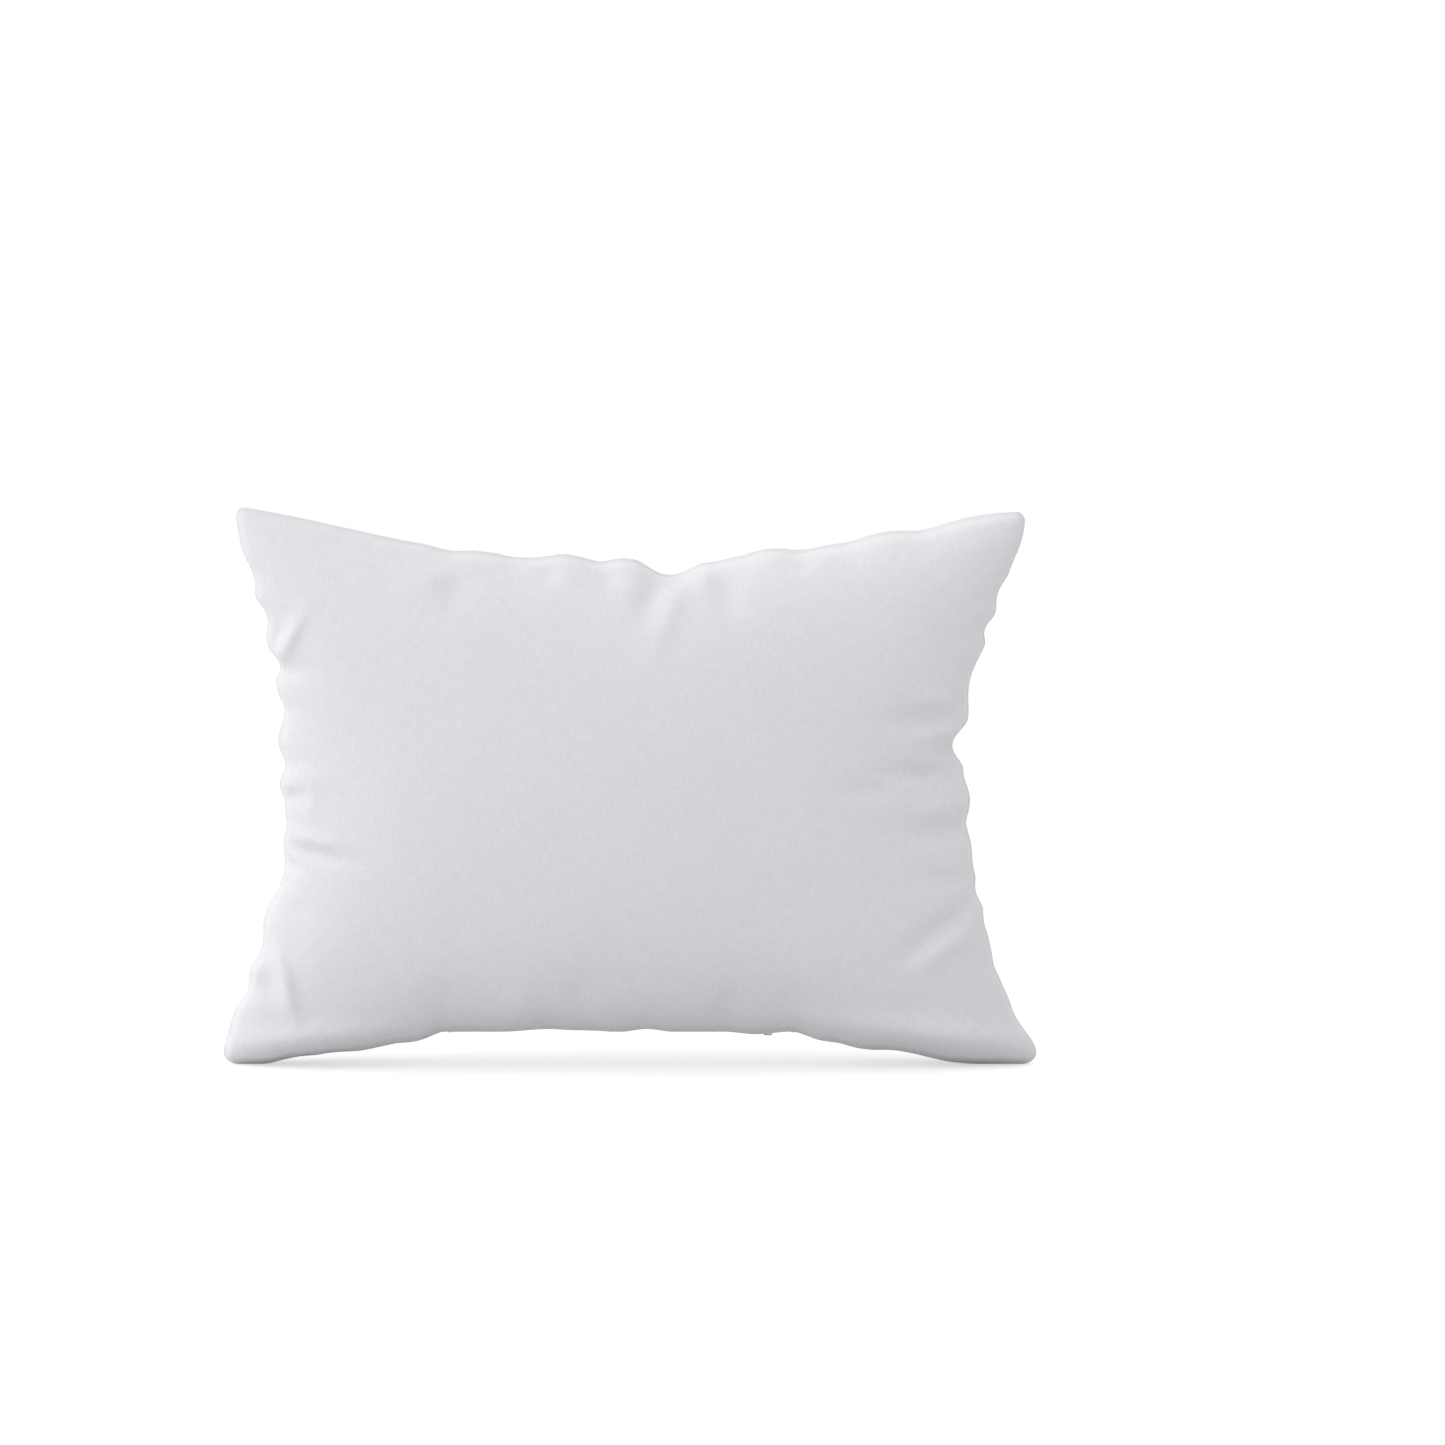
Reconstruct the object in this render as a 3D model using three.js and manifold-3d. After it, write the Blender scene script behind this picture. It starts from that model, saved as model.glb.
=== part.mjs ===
// Bed pillow standing on its long edge: a zipped percale cover over a lined, fibre-filled inner pillow.
// Millimetres. +X runs along the long side, +Y away from the face side, +Z up.
// The two lower corners rest on z = 0.
import * as THREE from 'three';
import { mergeVertices } from 'three/addons/utils/BufferGeometryUtils.js';
import Module from 'manifold-3d';

const wasm = await Module();
wasm.setup();

// Outline of the stuffed cover, seen square on
const widthAtTop = 694;
const widthAtFeet = 722;
const height = 489;
const loft = 200;
const plumpness = 0.42;
const topPullIn = 42;
const topBow = 1.6;
const leftPullIn = 50;
const rightPullIn = 60;
const sideBow = 1.5;
const topDip = { at: 38, depth: 11, reach: 40 };
const rightPinch = { at: 46, depth: 9, reach: 26 };
const footSetback = 11;
const footLength = 40;
const footWidth = 34;

// Cover cloth and its seam
const clothThickness = 0.8;
const seamGap = 0.3;
const seamAllowance = 10;
const stitchDepth = 2.8;
const stitchThickness = 0.4;
const foldShares = [0, 0.15, 0.35, 0.5, 1];
const cornerGap = 16;
const layerGap = 0.3;

// Zip in the lower seam
const zipHeight = 29;
const zipStart = -160;
const zipOpening = 305;
const rampStart = 12;
const lipClearance = 0.5;
const channelClearance = 0.4;
const channelHeadroom = 0.7;
const lipFlare = 0.6;
const tapeWidth = 14.5;
const tapeSetback = 1;
const tapeThickness = 0.8;
const tapeGap = 0.8;
const coilWidth = 4.2;
const coilThickness = 2;
const coilDepth = 4.2;
const stopInset = 15;
const stopLength = 3;
const stopCatch = 0.3;
const runningGap = 0.3;
const sliderLength = 9;
const sliderWall = 0.8;
const bailThickness = 1.6;
const bailLength = 7;
const bailBar = 1;
const pullLength = 20;
const pullThickness = 0.9;
const pullAxisDrop = 1.5;
const pullArm = 0.9;
const pullSideGap = 0.4;
const pullPlay = 0.45;
const pullTaper = 0.75;
const barFacets = 24;
const tackLength = 2.5;
const tackWidth = 6;
const tackThickness = 0.6;

// Care label, folded and caught in the left seam inside the cover
const labelMargin = 4;
const labelRoot = 5;
const labelWidth = 36;
const labelThickness = 0.6;
const labelRise = 205;

// Inner pillow
const innerMargin = 6;
const innerClearance = 2;
const liningThickness = 0.8;
const liningAllowance = 8;
const fillMargin = 7;
const fillClearance = 1.5;

// Fineness of the curved faces
const columnCount = 22;
const rowCount = 14;

const zipEnd = zipStart + zipOpening;
const crown = loft / 2;
const halfTop = widthAtTop / 2;
const halfFoot = widthAtFeet / 2;
const footOuter = halfFoot - footSetback;
const footInner = footOuter - footLength;
const coilZ = zipHeight + coilDepth;
const tapeFoot = coilDepth + coilThickness / 2 + layerGap;
const lipGap = bailThickness + 2 * lipClearance;
const foldChannel = coilWidth + 2 * (runningGap + sliderWall + channelClearance);
const foldChannelDepth = coilDepth + coilThickness / 2 + runningGap + sliderWall + channelHeadroom;
const innerInset = Math.max(tapeFoot + tapeWidth, seamAllowance) + innerMargin;
const fillInset = liningAllowance + fillMargin;
const pullWidth = bailThickness + 2 * (pullSideGap + pullArm);
const pullWindow = bailLength + 1;
const bailDrop = pullAxisDrop + pullThickness / 2 + pullPlay + bailBar;

const colours = {
  cloth: { color: 0xe9eaec, roughness: 0.92, metalness: 0 },
  thread: { color: 0xf2f2f0, roughness: 0.8, metalness: 0 },
  label: { color: 0xf6f6f4, roughness: 0.6, metalness: 0 },
  zip: { color: 0xeceded, roughness: 0.55, metalness: 0 },
  metal: { color: 0xe6e7e8, roughness: 0.4, metalness: 0.2 },
  lining: { color: 0xf0efec, roughness: 0.95, metalness: 0 },
  fibre: { color: 0xfafafa, roughness: 1, metalness: 0 },
};

const object = new THREE.Group();

function addMesh(name, geometry, finish) {
  const mesh = new THREE.Mesh(geometry, new THREE.MeshStandardMaterial(colours[finish]));
  mesh.name = name;
  object.add(mesh);
  return mesh;
}

// A smooth notch, 1 in its middle and 0 from its reach outwards
function notch(distance, reach) {
  const t = Math.min(Math.abs(distance) / reach, 1);
  return (1 - t * t) ** 2;
}

function topEdge(s) {
  const x = s * halfTop;
  const bow = topPullIn * (1 - Math.abs(s) ** topBow);
  return [x, height - bow - topDip.depth * notch(x - topDip.at, topDip.reach)];
}

// The lower seam runs level along the zip and falls away to the feet beyond it
function bottomEdge(s) {
  const x = s * halfFoot;
  const levelTo = x < 0 ? rampStart - zipStart : zipEnd + rampStart;
  const t = THREE.MathUtils.clamp((Math.abs(x) - levelTo) / (footInner - levelTo), 0, 1);
  return [x, zipHeight * (1 - t * t * (3 - 2 * t))];
}

function sideEdge(side, pullIn, s) {
  const lift = (s + 1) / 2;
  const z = lift * height;
  const pinch = side > 0 ? rightPinch.depth * notch(z - height / 2 - rightPinch.at, rightPinch.reach) : 0;
  const out = THREE.MathUtils.lerp(halfFoot, halfTop, lift);
  return [side * (out - pullIn * (1 - s * s) ** sideBow - pinch), z];
}

// Point of the mid-plane at (u, v), each from -1 to 1, blended from the four edges
function midPlane(u, v) {
  const across = (u + 1) / 2;
  const up = (v + 1) / 2;
  const low = bottomEdge(u);
  const high = topEdge(u);
  const left = sideEdge(-1, leftPullIn, v);
  const right = sideEdge(1, rightPullIn, v);
  const corner = (s, t) => [s * (t > 0 ? halfTop : halfFoot), t > 0 ? height : 0];
  return [0, 1].map((k) => {
    const edges = low[k] * (1 - up) + high[k] * up + left[k] * (1 - across) + right[k] * across;
    const lowCorners = corner(-1, -1)[k] * (1 - across) + corner(1, -1)[k] * across;
    const highCorners = corner(-1, 1)[k] * (1 - across) + corner(1, 1)[k] * across;
    return edges - lowCorners * (1 - up) - highCorners * up;
  });
}

// Lines of the grid stand closer together towards the edges; the nearest is moved onto each mark
function gridLines(count, marks) {
  const lines = Array.from({ length: count + 1 }, (_, i) => Math.sin(Math.PI * (i / count - 0.5)));
  for (const mark of marks) {
    const inner = lines.slice(1, -1);
    const nearest = inner.reduce((a, b) => (Math.abs(b - mark) < Math.abs(a - mark) ? b : a));
    lines[lines.indexOf(nearest)] = mark;
  }
  return lines;
}

// Place of a height on the sides, from -1 at the feet to 1 at the top
function lineAt(z) {
  return (2 * z) / height - 1;
}

// Row on which the skin of a foot is footWidth across
const footMiddle = (footInner + footOuter) / 2 / halfFoot;
const footShare = (footWidth / loft) ** (1 / plumpness) / (1 - footMiddle ** 2);
const footLine = -Math.sqrt(1 - footShare);
const pinchLine = lineAt(height / 2 + rightPinch.at);
const marks = [zipStart / halfFoot, zipEnd / halfFoot, topDip.at / halfTop];
const columns = gridLines(columnCount, [...marks, footInner / halfFoot, -footInner / halfFoot]);
const rows = gridLines(rowCount, [footLine, pinchLine]);

// The point (u, v) moved in from the outline by an inset; the first row of each foot lies flat on the floor
function place(u, v, inset) {
  const [x, z] = midPlane(u, v);
  const out = Math.abs(u * halfFoot);
  const onFoot = v === rows[1] && out > footInner - 1 && out < footOuter;
  return [x - u * inset, onFoot ? inset : z - v * inset];
}

// Share of the crown at (u, v): 1 in the middle, 0 on the outline; a lower plumpness fills the edges more
function fullness(u, v) {
  return ((1 - u * u) * (1 - v * v)) ** plumpness;
}

// Border stations in order round the face: along the bottom, up the right, back along the top, down the left
function borderStations() {
  const stations = [];
  columns.slice(0, -1).forEach((u, i) => stations.push([i, 0]));
  rows.slice(0, -1).forEach((v, j) => stations.push([columnCount, j]));
  columns.slice(1).forEach((u, i) => stations.push([columnCount - i, rowCount]));
  rows.slice(1).forEach((v, j) => stations.push([0, rowCount - j]));
  return stations;
}

// Collects faces, mirrored across the mid-plane for the back, and turns them into one closed body
class Body {
  constructor(side) {
    this.side = side;
    this.points = [];
    this.faces = [];
  }

  point([x, z], y) {
    this.points.push(x, this.side * y, z);
    return this.points.length / 3 - 1;
  }

  quad(a, b, c, d) {
    const order = this.side < 0 ? [a, b, c, a, c, d] : [a, c, b, a, d, c];
    this.faces.push(...order);
  }

  grid(inset, depthAt) {
    return columns.map((u) => rows.map((v) => this.point(place(u, v, inset), depthAt(u, v))));
  }

  fillGrid(grid, outwards) {
    for (let i = 0; i < columnCount; i += 1) {
      for (let j = 0; j < rowCount; j += 1) {
        const corners = [grid[i][j], grid[i + 1][j], grid[i + 1][j + 1], grid[i][j + 1]];
        this.quad(...(outwards ? corners : corners.toReversed()));
      }
    }
  }

  strip(first, second, closed = true) {
    const last = closed ? first.length : first.length - 1;
    for (let k = 0; k < last; k += 1) {
      const next = (k + 1) % first.length;
      this.quad(first[k], second[k], second[next], first[next]);
    }
  }

  geometry() {
    const geometry = new THREE.BufferGeometry();
    geometry.setAttribute('position', new THREE.Float32BufferAttribute(this.points, 3));
    geometry.setIndex(this.faces);
    geometry.computeVertexNormals();
    return geometry;
  }
}

// Path of the turned-in edge, as [depth from the outline, distance from the mid-plane]
function plainFold(cloth, allowance) {
  const near = seamGap / 2;
  const far = near + cloth;
  const steps = foldShares.map((share) => share * allowance);
  const inner = steps.slice(1).map((depth) => [depth, near]);
  const outer = steps.slice(2).reverse().map((depth) => [depth, far]);
  return [[0, near], ...inner, ...outer, [cloth * 2, far], [cloth, far]];
}

// Beside the zip the lips stand apart, and the fold leaves a channel for the slider before it meets the tape
function zipFold(cloth) {
  const lip = lipGap / 2;
  const channel = foldChannel / 2;
  const tape = tapeGap / 2 + tapeThickness + layerGap;
  const start = (channel - lip) * lipFlare;
  const roof = foldChannelDepth + channel - tape;
  const end = tapeFoot + tapeWidth;
  const half = cloth / 2;
  return [
    [0, lip], [start, channel], [foldChannelDepth, channel], [roof, tape], [end, tape],
    [end, tape + cloth], [roof + half, tape + cloth], [foldChannelDepth + half, channel + cloth],
    [start + cloth + half, channel + cloth], [start + half, channel + cloth * 2],
  ];
}

// One cloth panel: a crowned skin with its edge turned in along the mid-plane
function clothPanel(side, inset, peak, cloth, allowance, hasZip) {
  const body = new Body(side);
  const edge = seamGap / 2 + 2 * cloth;
  const folds = { plain: plainFold(cloth, allowance), zip: zipFold(cloth) };
  const inZip = (u, v) => hasZip && v === -1 && u * halfFoot >= zipStart && u * halfFoot <= zipEnd;
  const lipShift = (u, v) => (inZip(u, v) ? (lipGap - seamGap) / 2 : 0);
  const outerDepth = (u, v) => edge + lipShift(u, v) + (peak - edge) * fullness(u, v);
  const outer = body.grid(inset, outerDepth);
  const inner = body.grid(inset + cloth, (u, v) => outerDepth(u, v) - cloth);
  const stations = borderStations();
  const foldAt = (u, v) => (inZip(u, v) ? folds.zip : folds.plain);
  const rings = folds.plain.slice(0, -1).map((_, step) => stations.map(([i, j]) => {
    const [depth, distance] = foldAt(columns[i], rows[j])[step];
    return body.point(place(columns[i], rows[j], inset + depth), distance);
  }));
  for (const [i, j] of stations) {
    const [depth, distance] = foldAt(columns[i], rows[j]).at(-1);
    const [x, z] = place(columns[i], rows[j], inset + depth);
    body.points.splice(inner[i][j] * 3, 3, x, side * distance, z);
  }
  const outerRing = stations.map(([i, j]) => outer[i][j]);
  const innerRing = stations.map(([i, j]) => inner[i][j]);
  const chain = [outerRing, ...rings, innerRing];
  chain.slice(1).forEach((ring, k) => body.strip(chain[k], ring));
  body.fillGrid(outer, true);
  body.fillGrid(inner, false);
  return body.geometry();
}

// U-shaped run of overlock stitching round the turned-in edges, as [depth, distance] round its section
function stitchSection(cloth, allowance) {
  const innerHalf = seamGap / 2 + cloth + layerGap;
  const outerHalf = innerHalf + stitchThickness;
  const start = allowance - stitchDepth;
  const floor = allowance + layerGap;
  const end = floor + stitchThickness;
  return [
    [start, -outerHalf], [end, -outerHalf], [end, outerHalf], [start, outerHalf],
    [start, innerHalf], [floor, innerHalf], [floor, -innerHalf], [start, -innerHalf],
  ];
}

function stitchRun(stations, inset, section, closed) {
  const body = new Body(1);
  const rings = section.map(([depth, distance]) => stations.map(
    ([i, j]) => body.point(place(columns[i], rows[j], inset + depth), distance),
  ));
  rings.forEach((ring, k) => body.strip(ring, rings[(k + 1) % rings.length], closed));
  if (!closed) {
    const outline = section.map(([depth, distance]) => new THREE.Vector2(depth, distance));
    for (const [a, b, c] of THREE.ShapeUtils.triangulateShape(outline, [])) {
      body.faces.push(rings[a][0], rings[b][0], rings[c][0]);
      body.faces.push(rings[a].at(-1), rings[c].at(-1), rings[b].at(-1));
    }
  }
  return body.geometry();
}

// Stations of one side of the cover, leaving its corners free
function sideStations(side) {
  const spaced = (line, low, high) => line.map((s, k) => [s, k])
    .filter(([s]) => s > low && s < high).map(([, k]) => k);
  const cornerX = 1 - cornerGap / halfTop;
  const cornerZ = lineAt(height - cornerGap);
  const along = {
    top: () => spaced(columns, -cornerX, cornerX).map((i) => [i, rowCount]).reverse(),
    right: () => spaced(rows, -cornerZ, cornerZ).map((j) => [columnCount, j]),
    left: () => spaced(rows, -cornerZ, cornerZ).map((j) => [0, j]).reverse(),
    bottom_left: () => spaced(columns, -cornerX, zipStart / halfFoot).map((i) => [i, 0]),
    bottom_right: () => spaced(columns, zipEnd / halfFoot, cornerX).map((i) => [i, 0]),
  };
  return along[side]();
}

function addCover() {
  for (const [name, side] of [['cover_front_panel', -1], ['cover_back_panel', 1]]) {
    addMesh(name, clothPanel(side, 0, crown, clothThickness, seamAllowance, true), 'cloth');
  }
  const section = stitchSection(clothThickness, seamAllowance);
  for (const side of ['top', 'left', 'right', 'bottom_left', 'bottom_right']) {
    addMesh(`seam_stitching_${side}`, stitchRun(sideStations(side), 0, section, false), 'thread');
  }
}

function addLabel() {
  const near = seamGap / 2 + clothThickness + layerGap + stitchThickness + layerGap;
  const ends = [-1, 1].map((end) => lineAt(labelRise + (end * labelWidth) / 2));
  const edges = (depth) => ends.map((line) => place(-1, line, depth)[0]);
  const root = Math.max(...edges(labelRoot));
  const tip = Math.min(...edges(innerInset)) - labelMargin;
  const label = addMesh('care_label', new THREE.BoxGeometry(tip - root, labelThickness, labelWidth), 'label');
  label.position.set((root + tip) / 2, -near - labelThickness / 2, labelRise);
}

// Inner pillow: two lining panels, their overlocked seam and the fibre filling
function addInnerPillow() {
  const liningPeak = crown - clothThickness - innerClearance;
  for (const [name, side] of [['lining_front_panel', -1], ['lining_back_panel', 1]]) {
    const panel = clothPanel(side, innerInset, liningPeak, liningThickness, liningAllowance, false);
    addMesh(name, panel, 'lining');
  }
  const section = stitchSection(liningThickness, liningAllowance);
  addMesh('lining_seam_stitching', stitchRun(borderStations(), innerInset, section, true), 'thread');
  const fillPeak = liningPeak - liningThickness - fillClearance;
  addMesh('fibre_filling', cushion(innerInset + fillInset, fillPeak), 'fibre');
}

// A plain closed pillow shape on the same grid
function cushion(inset, peak) {
  const edge = 2 * liningThickness;
  const front = new Body(-1);
  const back = new Body(1);
  back.points = front.points;
  back.faces = front.faces;
  const depthAt = (u, v) => edge + (peak - edge) * fullness(u, v);
  const faces = [front, back].map((body) => {
    const grid = body.grid(inset, depthAt);
    body.fillGrid(grid, true);
    return borderStations().map(([i, j]) => grid[i][j]);
  });
  front.strip(faces[0], faces[1]);
  return front.geometry();
}

// Prism of a [y, z] outline along X
function prismAlongX(outline, from, to) {
  const shape = new THREE.Shape(outline.map(([y, z]) => new THREE.Vector2(y, z)));
  const geometry = new THREE.ExtrudeGeometry(shape, { depth: to - from, bevelEnabled: false });
  const turn = new THREE.Matrix4().makeBasis(
    new THREE.Vector3(0, 1, 0), new THREE.Vector3(0, 0, 1), new THREE.Vector3(1, 0, 0),
  );
  return geometry.applyMatrix4(turn).translate(from, 0, 0);
}

// Prism of an [x, z] shape, centred across the mid-plane
function prismAcross(shape, thickness) {
  const geometry = new THREE.ExtrudeGeometry(shape, { depth: thickness, bevelEnabled: false });
  const turn = new THREE.Matrix4().makeBasis(
    new THREE.Vector3(1, 0, 0), new THREE.Vector3(0, 0, 1), new THREE.Vector3(0, -1, 0),
  );
  return geometry.applyMatrix4(turn).translate(0, thickness / 2, 0);
}

function rectangle(low, high, bottom, top) {
  return [[low, bottom], [high, bottom], [high, top], [low, top]];
}

function toSolid(geometry) {
  const bare = geometry.clone();
  bare.deleteAttribute('normal');
  bare.deleteAttribute('uv');
  const merged = mergeVertices(bare, 1e-4);
  const mesh = new wasm.Mesh({
    numProp: 3,
    vertProperties: new Float32Array(merged.attributes.position.array),
    triVerts: new Uint32Array(merged.index.array),
  });
  return new wasm.Manifold(mesh);
}

function fromSolid(solid) {
  const mesh = solid.getMesh();
  const geometry = new THREE.BufferGeometry();
  geometry.setAttribute('position', new THREE.BufferAttribute(mesh.vertProperties, 3));
  geometry.setIndex(new THREE.BufferAttribute(mesh.triVerts, 1));
  geometry.computeVertexNormals();
  return geometry;
}

const coilStart = zipStart + stopInset;
const coilEnd = zipEnd - stopInset;
const sliderCentre = coilEnd - stopLength - layerGap - sliderLength / 2;

// Tapes, coils, their stitching and the end stops, the same on both sides of the mid-plane
function addZipHalf(name, side) {
  const spread = (low, high) => (side < 0 ? [-high, -low] : [low, high]);
  const [tapeLow, tapeHigh] = spread(tapeGap / 2, tapeGap / 2 + tapeThickness);
  const tapeLowest = zipHeight + tapeFoot;
  const tape = rectangle(tapeLow, tapeHigh, tapeLowest, tapeLowest + tapeWidth - tapeSetback);
  addMesh(`zip_tape_${name}`, prismAlongX(tape, zipStart + tapeSetback, zipEnd - tapeSetback), 'zip');

  const [coilLow, coilHigh] = spread(seamGap / 2, coilWidth / 2);
  const middle = (coilLow + coilHigh) / 2;
  const coil = Array.from({ length: 12 }, (_, k) => {
    const angle = (k / 12) * 2 * Math.PI;
    const reach = (coilHigh - coilLow) / 2;
    return [middle + reach * Math.cos(angle), coilZ + (coilThickness / 2) * Math.sin(angle)];
  });
  const coilStop = coilEnd - stopLength - layerGap;
  addMesh(`zip_coil_${name}`, prismAlongX(coil, coilStart + stopLength + layerGap, coilStop), 'zip');

  const foldFace = tapeGap / 2 + tapeThickness + layerGap + clothThickness + layerGap;
  const [threadLow, threadHigh] = spread(foldFace, foldFace + stitchThickness);
  const threadZ = tapeLowest + tapeWidth / 2;
  const thread = rectangle(threadLow, threadHigh, threadZ, threadZ + stitchThickness);
  addMesh(`zip_stitching_${name}`, prismAlongX(thread, zipStart + tapeSetback, zipEnd - tapeSetback), 'thread');

  const stopDrop = coilThickness / 2 + runningGap + stopCatch;
  const [stopLow, stopHigh] = spread(seamGap / 2, coilWidth / 2 + runningGap + stopCatch);
  const stop = rectangle(stopLow, stopHigh, coilZ - stopDrop, coilZ + coilThickness / 2);
  addMesh(`zip_top_stop_${name}`, prismAlongX(stop, coilEnd - stopLength, coilEnd), 'zip');
}

function addBottomStop() {
  const stopDrop = coilThickness / 2 + runningGap + stopCatch;
  const half = coilWidth / 2 + runningGap + stopCatch;
  const stop = rectangle(-half, half, coilZ - stopDrop, coilZ + coilThickness / 2);
  addMesh('zip_bottom_stop', prismAlongX(stop, coilStart, coilStart + stopLength), 'zip');
}

// Slider: a sleeve open along its top for the tapes, with a bail under it for the pull
function addSlider() {
  const innerHalf = coilWidth / 2 + runningGap;
  const outerHalf = innerHalf + sliderWall;
  const slot = tapeGap / 2 + tapeThickness + runningGap;
  const reach = coilThickness / 2 + runningGap;
  const low = coilZ - reach - sliderWall;
  const high = coilZ + reach + sliderWall;
  const sleeve = [
    [-outerHalf, low], [outerHalf, low], [outerHalf, high], [slot, high], [slot, coilZ + reach],
    [innerHalf, coilZ + reach], [innerHalf, coilZ - reach], [-innerHalf, coilZ - reach],
    [-innerHalf, coilZ + reach], [-slot, coilZ + reach], [-slot, high], [-outerHalf, high],
  ];
  const from = sliderCentre - sliderLength / 2;
  const sleeveSolid = toSolid(prismAlongX(sleeve, from, from + sliderLength));
  const bottom = zipHeight - bailDrop;
  const outline = rectangle(-bailLength / 2, bailLength / 2, bottom, low + sliderWall / 2);
  const bail = new THREE.Shape(outline.map(([x, z]) => new THREE.Vector2(x + sliderCentre, z)));
  const hole = rectangle(-bailLength / 2 + bailBar, bailLength / 2 - bailBar, bottom + bailBar, low - layerGap);
  bail.holes.push(new THREE.Path(hole.map(([x, z]) => new THREE.Vector2(x + sliderCentre, z))));
  const bailSolid = toSolid(prismAcross(bail, bailThickness));
  addMesh('zip_slider', fromSolid(sleeveSolid.add(bailSolid)), 'metal');
}

// Pull: a flat tab whose window goes round the bail; its round end bar lies in the bail on the hinge axis
function addPull() {
  const half = pullWidth / 2;
  const bar = pullThickness / 2;
  const taper = half * pullTaper;
  const tab = new THREE.Shape();
  tab.moveTo(0, -half);
  tab.lineTo(0, half);
  tab.lineTo(-pullLength + half, taper);
  tab.absarc(-pullLength + taper, 0, taper, Math.PI / 2, (3 * Math.PI) / 2, false);
  tab.closePath();
  const inside = half - pullArm;
  const plate = { depth: pullThickness, bevelEnabled: false, curveSegments: 12 };
  const flat = toSolid(new THREE.ExtrudeGeometry(tab, plate).translate(0, 0, -bar));
  const window = wasm.Manifold.cube([pullWindow, 2 * inside, 2 * pullThickness], true);
  const open = flat.subtract(window.translate([-pullWindow / 2, 0, 0]));
  const endBar = wasm.Manifold.cylinder(pullWidth, bar, bar, barFacets, true).rotate([90, 0, 0]);
  const pull = addMesh('zip_pull', fromSolid(open.add(endBar)), 'metal');
  pull.position.set(sliderCentre, 0, zipHeight - pullAxisDrop);
}

function addZip() {
  addZipHalf('front', -1);
  addZipHalf('back', 1);
  addBottomStop();
  addSlider();
  addPull();
  const inset = tackLength / 2;
  for (const [name, x] of [['left', zipStart + inset], ['right', zipEnd - inset]]) {
    const bar = new THREE.BoxGeometry(tackLength, tackWidth, tackThickness);
    const tack = addMesh(`bar_tack_${name}`, bar, 'thread');
    tack.position.set(x, 0, zipHeight - layerGap - tackThickness / 2);
  }
}

addCover();
addLabel();
addInnerPillow();
addZip();

export default object;
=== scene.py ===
import math

import bmesh
import bpy
import numpy as np
from mathutils import Matrix, Vector


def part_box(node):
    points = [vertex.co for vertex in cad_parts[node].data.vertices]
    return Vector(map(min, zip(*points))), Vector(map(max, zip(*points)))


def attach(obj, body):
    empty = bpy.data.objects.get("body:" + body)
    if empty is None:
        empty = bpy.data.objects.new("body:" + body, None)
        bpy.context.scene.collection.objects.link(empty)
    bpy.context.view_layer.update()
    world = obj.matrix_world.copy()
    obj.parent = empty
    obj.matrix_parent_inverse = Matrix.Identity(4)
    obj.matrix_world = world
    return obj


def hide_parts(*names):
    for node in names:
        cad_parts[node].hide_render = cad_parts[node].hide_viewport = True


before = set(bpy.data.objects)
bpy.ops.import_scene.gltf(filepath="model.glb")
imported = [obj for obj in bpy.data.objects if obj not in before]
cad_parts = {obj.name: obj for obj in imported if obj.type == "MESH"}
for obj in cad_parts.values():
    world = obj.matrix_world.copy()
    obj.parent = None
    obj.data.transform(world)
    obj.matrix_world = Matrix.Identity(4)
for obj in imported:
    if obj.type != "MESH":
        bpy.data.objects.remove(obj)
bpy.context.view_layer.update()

scene = bpy.context.scene
mm = 0.001


# An expression on wrapped sockets adds its Math nodes
class Value:
    def __init__(self, shader, socket):
        self.shader = shader
        self.socket = socket

    def join(self, operation, first, second):
        return self.shader.add("ShaderNodeMath", {"operation": operation}, first, second)

    def __add__(self, other):
        return self.join("ADD", self, other)

    def __sub__(self, other):
        return self.join("SUBTRACT", self, other)

    def __rsub__(self, other):
        return self.join("SUBTRACT", other, self)

    def __mul__(self, other):
        return self.join("MULTIPLY", self, other)

    __radd__ = __add__
    __rmul__ = __mul__


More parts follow.
